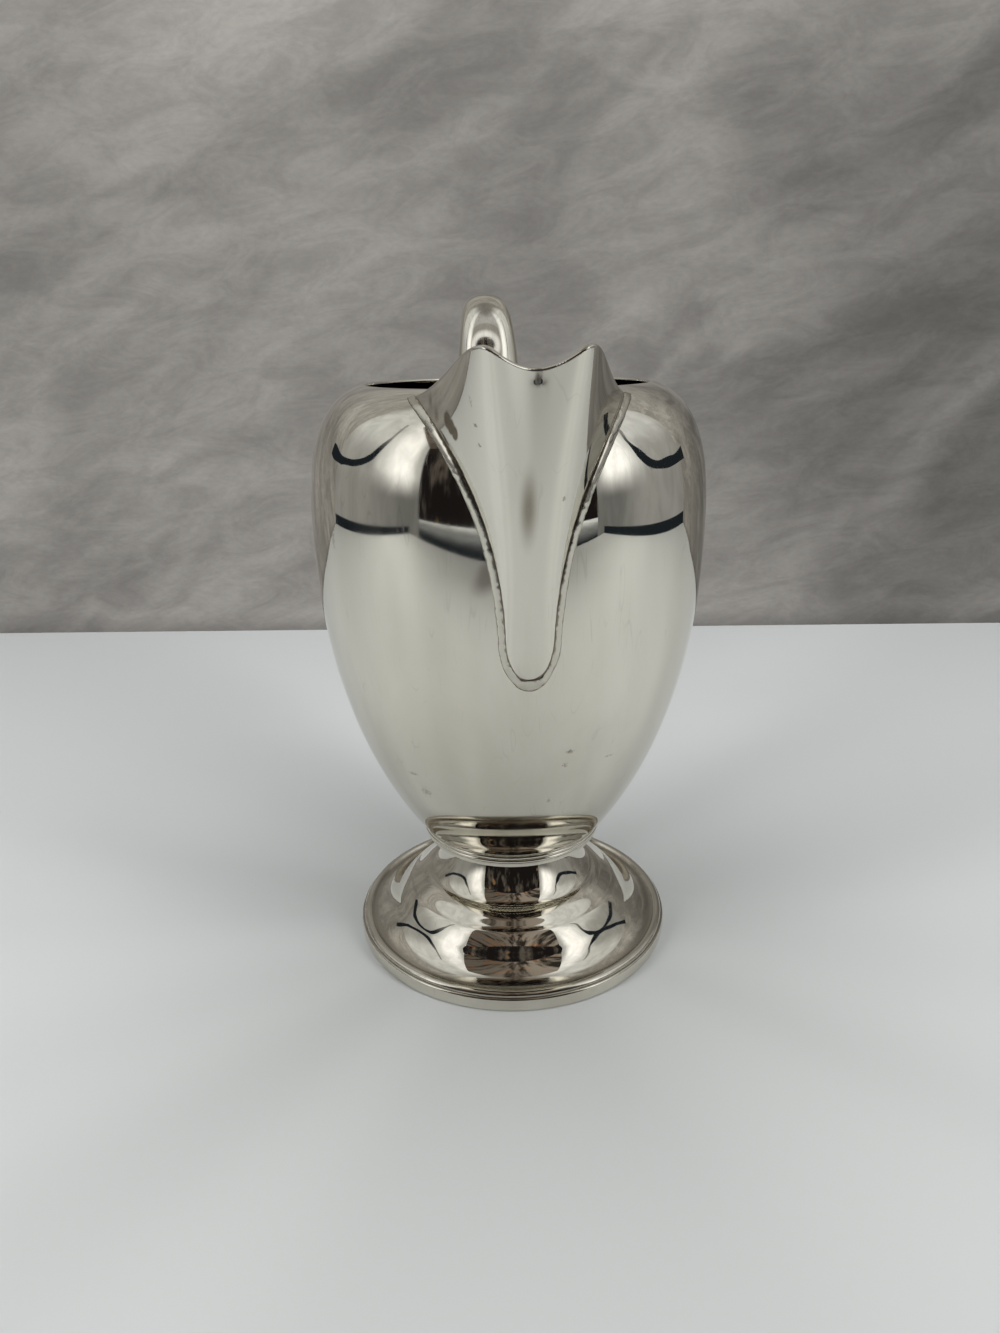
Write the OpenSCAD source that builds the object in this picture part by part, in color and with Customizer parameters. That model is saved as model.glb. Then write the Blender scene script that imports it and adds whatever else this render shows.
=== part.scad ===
// A footed cream jug in silver plate: a spun bowl on a pedestal foot, a pressed V-shaped spout
// soldered over an opening cut in the bowl, and a hollow loop handle made of two pressed halves.
// Lengths are in millimetres. The origin is the centre of the foot on the table, +Z is up,
// the spout points along +X and the handle stands behind along -X.

/* [Foot] */
// Outside diameter of the ring that the jug stands on
base_d = 68; // [60:0.5:76]
// Height of the standing ring
base_ring_h = 2.95; // [2:0.05:4]
// Width of the standing ring, from its outside to its inside
base_ring_w = 2.1; // [1.6:0.05:3]
// Height of the foot, from the table to the top of the spun pedestal
foot_h = 23.9; // [20:0.1:30]
// Height of the flat flange above the table
flange_h = 3.25; // [3:0.05:4]
// Diameter of the foot's dome halfway down its flank, where it is steepest
flank_d = 51.2; // [48:0.2:54]
// Height of that place above the flange
flank_h = 3.9; // [3:0.05:4.5]
// Diameter of the shallow crease between the dome and the small bulge above it
bulge_d = 45; // [43:0.1:47]
// Height of that crease above the flank's steepest place
bulge_h = 3.1; // [2.6:0.05:3.6]
// Diameter of the crease between the small bulge and the neck
crease_d = 35.6; // [33:0.1:38]
// Height of that crease above the lower one
crease_h = 2.5; // [2:0.05:3]
// Diameter of the neck at its waist
waist_d = 24.6; // [22:0.1:28]
// Distance from the top of the foot down to the waist
waist_drop = 2.9; // [2.4:0.05:3.6]
// Thickness of the foot's sheet
foot_wall = 0.9; // [0.6:0.05:1.2]

/* [Collar] */
// Outside diameter of the collar between the foot and the bowl
collar_d = 38.2; // [36:0.1:44]
// Thickness of the collar
collar_h = 1.6; // [1.2:0.05:3]
// Diameter of the hole through the collar
collar_bore_d = 23; // [18:0.1:26]

/* [Bowl] */
// Height of the bowl, from its flat underside to the rim
bowl_h = 90.7; // [75:0.5:110]
// Diameter of the bowl at its widest
bowl_d = 75.8; // [68:0.2:84]
// Diameter of the flat underside
bowl_seat_d = 38; // [34:0.1:44]
// Diameter of the mouth at the rim
mouth_d = 54; // [46:0.5:60]
// Height of the widest level above the underside
belly_h = 62.5; // [52:0.5:70]
// Thickness of the bowl's sheet
bowl_wall = 0.9; // [0.6:0.05:1.2]
// Thickness of the bowl's floor
floor_wall = 1.1; // [0.8:0.05:1.6]

/* [Spout] */
// Distance from the rim down to the spout's pointed end
spout_drop = 47.8; // [36:0.2:56]
// How far the lip stands out beyond the widest part of the bowl
lip_out = 8.4; // [4:0.1:14]
// Height of the dip in the middle of the lip above the rim
lip_rise = 3.6; // [1:0.1:8]
// Height of the lip's two side peaks over the straight line from dip to corner
peak_rise = 5.2; // [2:0.1:7]
// Half the width of the spout where its corners meet the shoulder
wing_w = 17.9; // [13:0.1:19]
// Half the width of the rounded lower end
tip_w = 4.6; // [3.5:0.1:6]
// Height over which the lower end rounds off
tip_round = 7.5; // [4:0.1:9]
// How far the spout stands proud of the bowl at its lower end
spout_proud = 0.95; // [0.8:0.05:1.6]
// Thickness of the spout's sheet
spout_wall = 0.7; // [0.5:0.05:0.75]
// Width of the strip of bowl hidden behind the spout's edge
spout_land = 1.2; // [0.8:0.1:2]
// Size of the solder bead round the spout
spout_bead = 0.7; // [0.4:0.05:1]

/* [Handle] */
// Height of the handle's top above the rim
handle_rise = 17.9; // [10:0.2:24]
// How far the handle stands out behind the widest part of the bowl
handle_out = 36.8; // [28:0.2:46]
// Distance from the rim down to the upper joint
upper_joint_drop = 8.8; // [6:0.2:14]
// Distance from the rim down to the lower joint
lower_joint_drop = 50.5; // [40:0.5:60]
// Width of the handle at its upper joint
handle_top_w = 14.7; // [10:0.2:18]
// Width of the handle at its crown
handle_crown_w = 11.4; // [9:0.2:16]
// Width of the handle at its lower joint
handle_end_w = 10; // [7:0.2:14]
// Thickness of the handle at its upper joint
handle_top_t = 9.6; // [6:0.1:11]
// Thickness of the handle at its lower joint
handle_end_t = 6.8; // [5:0.1:9]
// Thickness of the handle's sheet
handle_wall = 0.8; // [0.5:0.05:1.1]
// Size of the solder beads round the handle's ends
handle_bead = 0.9; // [0.5:0.05:1.4]

/* [Hidden] */
$fn = 96;

// Gap left between a pressed or soldered piece and what it sits on
seat_gap = 0.03;
// How far a cutter runs past what it cuts
overrun = 5;
// Rounding of the standing ring's corners
ring_round = 0.35;
// Overhang of the standing ring beyond the flange's rolled edge
edge_step = 0.5;
// Width of the flange's rolled edge
edge_w = 2.3;
// Height of the rolled edge above the flat flange
edge_rise = 0.65;
// Solder fillet under the bowl, inside the collar's hole
foot_bead = 1.2;
// Depth of the groove between the collar's two beads
collar_groove = 0.35;

// Steps along one curve of an outline
curve_steps = 10;
// Steps along the bowl's lower and upper curves
bowl_steps = 26;
// Rows along the spout, and steps from its middle to one edge
spout_rows = 32;
spout_steps = 13;
// The rows lie closer together towards the spout's lower end
row_power = 1.4;
// Steps along each of the handle's three curves, and round one half of it
handle_steps = 14;
half_steps = 10;
// Steps round a solder bead at a handle joint
bead_steps = 28;

// Shares of a length that shape the curves
bowl_foot_pull_share = 0.5;
bowl_belly_pull_share = 0.4;
bowl_shoulder_rise_share = 0.34;
bowl_rim_drop_share = 0.11;
bowl_rim_pull_share = 1.02;
bowl_foot_lean = 52;
neck_flare_share = 0.18;
waist_pull_share = 0.16;
foot_pull_share = 0.33;
flank_pull_share = 0.19;
edge_crease_share = 0.75;
edge_crown_share = 0.5;
edge_turn_share = 0.25;

base_r = base_d / 2;
flange_edge_r = base_r - edge_step;
flank_r = flank_d / 2;
bulge_r = bulge_d / 2;
crease_r = crease_d / 2;
waist_r = waist_d / 2;
collar_r = collar_d / 2;
collar_bore_r = collar_bore_d / 2;
belly_r = bowl_d / 2;
seat_r = bowl_seat_d / 2;
mouth_r = mouth_d / 2;
seat_z = foot_h + collar_h;
rim_z = seat_z + bowl_h;
belly_z = seat_z + belly_h;
flank_z = flange_h + flank_h;
bulge_z = flank_z + bulge_h;
crease_z = bulge_z + crease_h;
waist_z = foot_h - waist_drop;
tip_z = rim_z - spout_drop;

// A cubic curve through p[0] and p[3], pulled towards p[1] and p[2], without its last point
function curve(p, n) = [for (i = [0 : n - 1]) curve_at(p, i / n)];
function curve_at(p, t) = pow(1 - t, 3) * p[0] + 3 * pow(1 - t, 2) * t * p[1]
    + 3 * (1 - t) * t * t * p[2] + pow(t, 3) * p[3];
// The direction of that curve
function curve_way(p, t) = 3 * pow(1 - t, 2) * (p[1] - p[0]) + 6 * (1 - t) * t * (p[2] - p[1])
    + 3 * t * t * (p[3] - p[2]);

function unit(v) = v / norm(v);
function left_of(v) = [-v.y, v.x];
function reversed(list) = [for (i = [len(list) - 1 : -1 : 0]) list[i]];
// The line that runs beside an outline, at the distance d on its left
function beside(path, d) = let (last = len(path) - 1) [for (i = [0 : last])
    path[i] + d * left_of(unit(path[min(i + 1, last)] - path[max(i - 1, 0)]))];

// The bowl's outside, from the edge of its underside to its rim, as [radius, height]
bowl_foot_pull = bowl_foot_pull_share * bowl_seat_d;
bowl_low = [
    [seat_r, seat_z],
    [seat_r + bowl_foot_pull * cos(bowl_foot_lean), seat_z + bowl_foot_pull * sin(bowl_foot_lean)],
    [belly_r, belly_z - bowl_belly_pull_share * belly_h],
    [belly_r, belly_z]];
shoulder_h = rim_z - belly_z;
bowl_high = [
    [belly_r, belly_z],
    [belly_r, belly_z + bowl_shoulder_rise_share * shoulder_h],
    [mouth_r + bowl_rim_pull_share * (belly_r - mouth_r), rim_z - bowl_rim_drop_share * shoulder_h],
    [mouth_r, rim_z]];
bowl_out = concat(curve(bowl_low, bowl_steps), curve(bowl_high, bowl_steps), [[mouth_r, rim_z]]);
bowl_table = [for (p = bowl_out) [p.y, p.x]];
// The bowl's outside radius at a height, and how far out its side stands there at a sideways place
function bowl_r_at(z) = lookup(z, bowl_table);
function bowl_x_at(y, z) = sqrt(max(pow(bowl_r_at(z), 2) - y * y, 0));

// The top of the foot, from under the collar and down over neck, small bulge and dome to the
// flange's rolled edge. Each piece leaves and meets its places at a slope in degrees.
neck_lean = 90;
neck_end_lean = 26;
bulge_lean = 3;
bulge_end_lean = 27;
dome_lean = 28;
flank_lean = 53;
flange_lean = 9;
function downhill(a) = [cos(a), -sin(a)];
function slope_curve(p, lean_p, pull_p, q, lean_q, pull_q) = curve([p,
    p + pull_p * norm(q - p) * downhill(lean_p),
    q - pull_q * norm(q - p) * downhill(lean_q), q], curve_steps);
flare_r = collar_r - edge_step;
flare_z = foot_h - foot_wall;
waist = [waist_r, waist_z];
crease = [crease_r, crease_z];
bulge = [bulge_r, bulge_z];
flank = [flank_r, flank_z];
flange = [flange_edge_r - edge_w, flange_h];
foot_out = concat(
    curve([[flare_r, flare_z], [flare_r - neck_flare_share * flare_r, flare_z],
        [waist_r, flare_z - edge_rise], waist], curve_steps),
    slope_curve(waist, neck_lean, waist_pull_share, crease, neck_end_lean, foot_pull_share),
    slope_curve(crease, bulge_lean, foot_pull_share, bulge, bulge_end_lean, foot_pull_share),
    slope_curve(bulge, dome_lean, flank_pull_share, flank, flank_lean, flank_pull_share),
    slope_curve(flank, flank_lean, foot_pull_share, flange, flange_lean, foot_pull_share),
    curve([flange,
        [flange_edge_r - edge_crease_share * edge_w, flange_h],
        [flange_edge_r - edge_crease_share * edge_w, flange_h + edge_rise],
        [flange_edge_r - edge_crown_share * edge_w, flange_h + edge_rise]], curve_steps),
    curve([[flange_edge_r - edge_crown_share * edge_w, flange_h + edge_rise],
        [flange_edge_r - edge_turn_share * edge_w, flange_h + edge_rise],
        [flange_edge_r, flange_h + edge_rise - edge_turn_share * foot_wall],
        [flange_edge_r, flange_h + edge_rise - foot_wall]], curve_steps));

// Half the width of the spout's outline on the bowl, at the height h above its lower end
seam_h = spout_drop - bowl_wall - seat_gap;
spout_flare = 2.6;
function tip_rounding(h) = sqrt(1 - pow(1 - min(h / tip_round, 1), 2));
function seam_y(h) = tip_w * tip_rounding(h) + (wing_w - tip_w) * pow(h / seam_h, spout_flare);

// The spout's middle line, from its lower end out to the dip in the lip
tip_x = bowl_r_at(tip_z);
dip_x = belly_r + lip_out;
dip_h = spout_drop + lip_rise;
crest_flare = 1.15;
function crest_x(t) = tip_x + (dip_x - tip_x - spout_proud) * pow(t, crest_flare)
    + spout_proud * tip_rounding(t * dip_h);

// One point of the spout's outside: t runs from the lower end to the lip, u from the middle to an edge
cheek_push = 6.3;
cheek_power = 5;
cheek_share = 0.58;
flank_low_share = 0.95;
flank_high_share = 0.45;
flank_out_low_share = 0.6;
flank_out_high_share = 0.83;
flank_power = 1.6;
peak_power = 1.4;
peak_growth = 4;
function spout_point(t, u) = let (
        side = sign(u),
        a = abs(u),
        h = t * seam_h,
        y = seam_y(h),
        x_edge = bowl_x_at(y, tip_z + h) + seat_gap,
        x_mid = max(crest_x(t), x_edge),
        near_lip = pow(t, flank_power),
        flank_share = flank_low_share + (flank_high_share - flank_low_share) * near_lip,
        flank_out_share = flank_out_low_share + (flank_out_high_share - flank_out_low_share) * near_lip,
        p = curve_at([
            [x_mid, 0],
            [x_mid + cheek_push * pow(t, cheek_power), cheek_share * y],
            [x_edge + flank_out_share * (x_mid - x_edge), flank_share * y],
            [x_edge, y]], a),
        peak = peak_rise * pow(t, peak_growth) * pow(sin(180 * a), peak_power),
        z = tip_z + t * (dip_h + (seam_h - dip_h) * a) + peak)
    [p.x, side * p.y, z];

// The same point on the inside of the sheet, kept off the bowl
slope_step = 0.004;
function spout_normal(t, u) = let (
        along = spout_point(min(t + slope_step, 1), u) - spout_point(t - slope_step, u),
        across = spout_point(t, min(u + slope_step, 1)) - spout_point(t, max(u - slope_step, -1)))
    unit(cross(across, along));
function spout_inside(t, u) = let (
        p = spout_point(t, u) - spout_wall * spout_normal(t, u),
        q = abs(u) < 1 ? p : spout_point(t, u) - [0, sign(u) * spout_wall, 0],
        x = abs(u) < 1 ? p.x : 0)
    [max(x, bowl_x_at(q.y, q.z) + seat_gap), q.y, q.z];

// Joins loops of points, each with the same count, into a solid
module loft(loops, closed = false) {
    n = len(loops[0]);
    rows = len(loops);
    last = closed ? rows - 1 : rows - 2;
    sides = [for (i = [0 : last], k = [0 : n - 1])
        let (a = i * n + k, b = i * n + (k + 1) % n,
            c = ((i + 1) % rows) * n + (k + 1) % n, d = ((i + 1) % rows) * n + k)
        each [[a, b, c], [a, c, d]]];
    strip = [for (k = [0 : n / 2 - 2]) let (a = k, b = k + 1, c = n - 2 - k, d = n - 1 - k)
        each [[a, c, b], [a, d, c]]];
    end = (rows - 1) * n;
    caps = closed ? [] : concat(strip, [for (f = strip) [f[0] + end, f[2] + end, f[1] + end]]);
    polyhedron(points = [for (l = loops) each l], faces = concat(sides, caps), convexity = 8);
}

module base_ring() {
    inner_r = base_r - base_ring_w;
    color("lightgray") rotate_extrude() polygon([
        [inner_r + ring_round, 0],
        [base_r - ring_round, 0],
        [base_r, ring_round],
        [base_r, base_ring_h - ring_round],
        [base_r - ring_round, base_ring_h],
        [inner_r + 2 * ring_round, base_ring_h],
        [inner_r, base_ring_h - 2 * ring_round],
        [inner_r, ring_round]]);
}

module foot() {
    color("silver") rotate_extrude() polygon(concat(foot_out, reversed(beside(foot_out, -foot_wall))));
}

module collar() {
    mid_z = foot_h + collar_h / 2;
    color("gainsboro") rotate_extrude() polygon(concat(
        [[collar_bore_r, foot_h], [collar_r - collar_groove, foot_h]],
        [for (a = [-60 : 30 : 60]) [collar_r - collar_h / 4 + collar_h / 4 * cos(a),
            foot_h + collar_h / 4 + collar_h / 4 * sin(a)]],
        [[collar_r - collar_groove, mid_z]],
        [for (a = [-60 : 30 : 60]) [collar_r - collar_h / 4 + collar_h / 4 * cos(a),
            mid_z + collar_h / 4 + collar_h / 4 * sin(a)]],
        [[collar_r - collar_groove, seat_z], [collar_bore_r, seat_z]]));
}

module foot_solder() {
    color("darkgray") rotate_extrude() polygon(concat(
        [[collar_bore_r, seat_z]],
        [for (a = [0 : 15 : 90]) [collar_bore_r - foot_bead + foot_bead * sin(a),
            seat_z - foot_bead + foot_bead * cos(a)]]));
}

// The outline of the opening that the spout covers, seen from the front
opening_steps = 24;
module opening_outline() {
    heights = [for (i = [0 : opening_steps]) seam_h * pow(i / opening_steps, row_power)];
    edge = [for (h = heights) [seam_y(h) - spout_wall - spout_land, h]];
    open = [for (e = edge) if (e.x > spout_wall) [e.x, tip_z + e.y + spout_wall + spout_land]];
    top = [[open[len(open) - 1].x, rim_z + overrun]];
    right = concat(open, top);
    polygon(concat(right, [for (p = reversed(right)) [-p.x, p.y]]));
}

module bowl() {
    inside = beside(bowl_out, bowl_wall);
    kept = [for (p = inside) if (p.y > seat_z + floor_wall + bowl_wall) p];
    rim_turn = [for (a = [30 : 30 : 150]) let (
            way = unit(bowl_out[len(bowl_out) - 1] - bowl_out[len(bowl_out) - 2]))
        [mouth_r, rim_z] + bowl_wall / 2 * (left_of(way) * (1 - cos(a)) + way * sin(a))];
    color("silver") difference() {
        rotate_extrude() polygon(concat(
            [[0, seat_z]], bowl_out, rim_turn, reversed(kept),
            [[kept[0].x - bowl_wall, seat_z + floor_wall], [0, seat_z + floor_wall]]));
        rotate([90, 0, 90]) linear_extrude(belly_r + overrun) opening_outline();
    }
}

module spout() {
    us = [for (k = [-spout_steps : spout_steps]) k / spout_steps];
    ts = [for (i = [1 : spout_rows]) pow(i / spout_rows, row_power)];
    color("silver") loft([for (t = ts) concat(
        [for (u = us) spout_point(t, u)],
        [for (u = reversed(us)) spout_inside(t, u)])]);
}

// The bead lies in the corner between the bowl and the spout's edge, round its lower end
bead_reach_share = 0.07;
bead_crown_share = 0.12;
module spout_solder() {
    ts = [for (i = [1 : spout_rows]) pow(i / spout_rows, row_power)];
    stations = concat([for (t = reversed(ts)) [t, -1]], [for (t = ts) [t, 1]]);
    color("darkgray") loft([for (s = stations) let (
            t = s[0],
            side = s[1],
            h = t * seam_h,
            run = unit([seam_y(h + slope_step) - seam_y(h - slope_step), 2 * slope_step]),
            out = [side * run.y, -run.x],
            foot_p = spout_point(t, side) + [0, out.x, out.y] * seat_gap,
            far = [foot_p.y, foot_p.z] + out * spout_bead,
            far_p = [bowl_x_at(far.x, far.y) + seat_gap, far.x, far.y],
            up = spout_point(t, side * (1 - bead_reach_share)) - spout_point(t, side),
            up_p = foot_p + unit(up) * min(norm(up), spout_bead) + [0, out.x, out.y] * seat_gap,
            mid_p = (far_p + up_p) / 2 + [bead_crown_share * spout_bead, 0, 0])
        [foot_p, up_p, mid_p, far_p]]);
}

// The line along the handle's widest places, from the upper joint over the crown and the back
// down to the lower joint. Its section is domed on the outside of the loop and flatter inside.
handle_dome_share = 0.62;
handle_neck_out_share = 0.612;
handle_neck_up_share = 0.067;
handle_rise_out_share = 0.363;
handle_crown_share = 0.665;
handle_round_share = 0.62;
handle_back_share = 0.33;
handle_down_share = 0.53;
handle_in_share = 0.43;
handle_end_up_share = 0.09;
curve_count = 3;
crown_taper_power = 3;
function handle_t(part) = handle_top_t + (handle_end_t - handle_top_t) * part / curve_count;
function eased(x) = x * x * (3 - 2 * x);
function handle_w(part) = part < 1
    ? handle_top_w + (handle_crown_w - handle_top_w) * pow(eased(part), crown_taper_power)
    : handle_crown_w + (handle_end_w - handle_crown_w) * eased((part - 1) / (curve_count - 1));
upper_z = rim_z - upper_joint_drop;
lower_z = rim_z - lower_joint_drop;
upper_x = -bowl_r_at(upper_z);
lower_x = -bowl_r_at(lower_z);
crown_z = rim_z + handle_rise - handle_dome_share * handle_t(1);
back_x = -(belly_r + handle_out) + handle_dome_share * handle_t(2);
handle_run = back_x - upper_x;
back_z = crown_z - handle_back_share * (crown_z - lower_z);
crown_x = upper_x + handle_crown_share * handle_run;
up_curve = [
    [upper_x, upper_z],
    [upper_x + handle_neck_out_share * handle_run, upper_z + handle_neck_up_share * (crown_z - upper_z)],
    [upper_x + handle_rise_out_share * handle_run, crown_z],
    [crown_x, crown_z]];
back_curve = [
    [crown_x, crown_z],
    [crown_x + handle_round_share * (back_x - crown_x), crown_z],
    [back_x, back_z + handle_round_share * (crown_z - back_z)],
    [back_x, back_z]];
down_curve = [
    [back_x, back_z],
    [back_x, back_z - handle_down_share * (back_z - lower_z)],
    [back_x + handle_in_share * (lower_x - back_x), lower_z + handle_end_up_share * (back_z - lower_z)],
    [lower_x, lower_z]];

// How far the handle's section reaches from its widest line, at the angle a from the outside
function dome_reach(t, a) = (cos(a) > 0 ? handle_dome_share : 1 - handle_dome_share) * t * cos(a);
// One loop round a half of the handle: its outer skin, then its inner skin
function half_loop(centre, out_way, w, t, side) = let (
        thin_t = t - 2 * handle_wall,
        shift = (handle_dome_share - 1 / 2) * 2 * handle_wall)
    concat(
        [for (k = [0 : half_steps]) let (a = 180 * k / half_steps)
            centre + out_way * dome_reach(t, a) + [0, side * w / 2 * sin(a), 0]],
        [for (k = [half_steps : -1 : 0]) let (a = 180 * k / half_steps)
            centre + out_way * (dome_reach(thin_t, a) + shift * cos(a) * cos(a))
                + [0, side * (w / 2 - handle_wall) * sin(a), 0]]);

module handle_half(side) {
    curves = [up_curve, back_curve, down_curve];
    places = [for (c = [0 : curve_count - 1], i = [0 : handle_steps]) if (i > 0 || c == 0) [c, i / handle_steps]];
    last = len(places) - 1;
    loops = [for (place = places) let (
            c = curves[place[0]],
            p = curve_at(c, place[1]),
            way = unit(curve_way(c, place[1])),
            part = place[0] + place[1])
        half_loop([p.x, 0, p.y], [way.y, 0, -way.x], handle_w(part), handle_t(part), side)];
    seated = [for (j = [0 : last]) [for (p = loops[j])
        let (x = -bowl_x_at(p.y, p.z) - seat_gap)
        j == 0 || j == last ? [x, p.y, p.z] : [min(p.x, x), p.y, p.z]]];
    loft(side > 0 ? seated : [for (l = seated) reversed(l)]);
}

module handle_left() {
    color("silver") handle_half(1);
}

module handle_right() {
    color("gainsboro") handle_half(-1);
}

// A bead in the corner between the bowl and the end of the handle. The way leads off along the
// handle, and outer is 1 where the outside of the loop is up and -1 where it is down.
module joint_solder(z, way, w, t, outer) {
    color("darkgray") loft([for (i = [0 : bead_steps - 1]) let (
            a = 360 * i / bead_steps,
            on = [w / 2 * sin(a), z + outer * abs(way.x) * dome_reach(t, a)],
            out = unit([sin(a) / w, outer * cos(a) / t]),
            foot_yz = on + out * seat_gap,
            far_yz = on + out * handle_bead,
            foot_p = [-bowl_x_at(foot_yz.x, foot_yz.y) - seat_gap, foot_yz.x, foot_yz.y],
            far_p = [-bowl_x_at(far_yz.x, far_yz.y) - seat_gap, far_yz.x, far_yz.y],
            up_p = foot_p + [way.x, 0, way.y] * handle_bead)
        outer > 0 ? [foot_p, far_p, up_p] : [foot_p, up_p, far_p]], closed = true);
}

module upper_joint_solder() {
    joint_solder(upper_z, unit(curve_way(up_curve, 0)), handle_w(0), handle_t(0), 1);
}

module lower_joint_solder() {
    joint_solder(lower_z, -unit(curve_way(down_curve, 1)), handle_w(curve_count), handle_t(curve_count), -1);
}

base_ring();
foot();
collar();
foot_solder();
bowl();
spout();
spout_solder();
handle_left();
handle_right();
upper_joint_solder();
lower_joint_solder();
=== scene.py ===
"""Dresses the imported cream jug: smooth plated sheets, their solder, their finish, and a small pale stage.

Every length is in metres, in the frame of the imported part: the origin is the centre of the foot on
the table, +Z is up, the spout points along +X and the handle stands behind along -X.
"""
import math
from bisect import bisect_left

import bpy
from mathutils import Matrix, Vector
from mathutils import noise as lumps


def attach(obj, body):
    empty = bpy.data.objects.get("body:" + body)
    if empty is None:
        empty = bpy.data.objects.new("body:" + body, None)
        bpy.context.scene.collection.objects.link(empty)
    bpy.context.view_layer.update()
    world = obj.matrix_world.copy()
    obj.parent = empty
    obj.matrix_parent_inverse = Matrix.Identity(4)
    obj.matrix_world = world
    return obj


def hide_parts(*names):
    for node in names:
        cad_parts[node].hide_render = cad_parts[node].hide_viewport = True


bl_info = {
    "name": "Plated cream jug",
    "version": (1, 0, 0),
    "blender": (4, 5, 0),
    "location": "View3D > Sidebar > Cream jug",
    "description": "Builds a footed cream jug in mirror silver plate on a small pale stage",
    "category": "Add Mesh",
}

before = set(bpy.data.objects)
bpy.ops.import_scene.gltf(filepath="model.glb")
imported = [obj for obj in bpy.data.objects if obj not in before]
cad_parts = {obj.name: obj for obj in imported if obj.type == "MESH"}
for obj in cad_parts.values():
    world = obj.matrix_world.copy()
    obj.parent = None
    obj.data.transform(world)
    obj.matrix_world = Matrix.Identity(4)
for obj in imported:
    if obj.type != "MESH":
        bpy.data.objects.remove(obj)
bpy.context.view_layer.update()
MM = 0.001
DOUBLE = 0.002 * MM
SOLDER_GRAIN = 0.02 * MM


def length(name, text, value):
    """A size that a user may change. Its default is given in millimetres and kept in metres."""
    return bpy.props.FloatProperty(name=name, description=text, default=value * MM, min=0.0,
                                   precision=5, unit="LENGTH", subtype="DISTANCE")


def colour(name, text, value):
    """A colour that a user may change."""
    return bpy.props.FloatVectorProperty(name=name, description=text, default=value, size=3,
                                         min=0.0, max=1.0, subtype="COLOR")


def share(name, text, value):
    """A share from nothing to all."""
    return bpy.props.FloatProperty(name=name, description=text, default=value, min=0.0, max=1.0,
                                   subtype="FACTOR")


def angle(name, text, degrees):
    """An angle that a user may change."""
    return bpy.props.FloatProperty(name=name, description=text, default=math.radians(degrees),
                                   unit="ROTATION", subtype="ANGLE")


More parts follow.
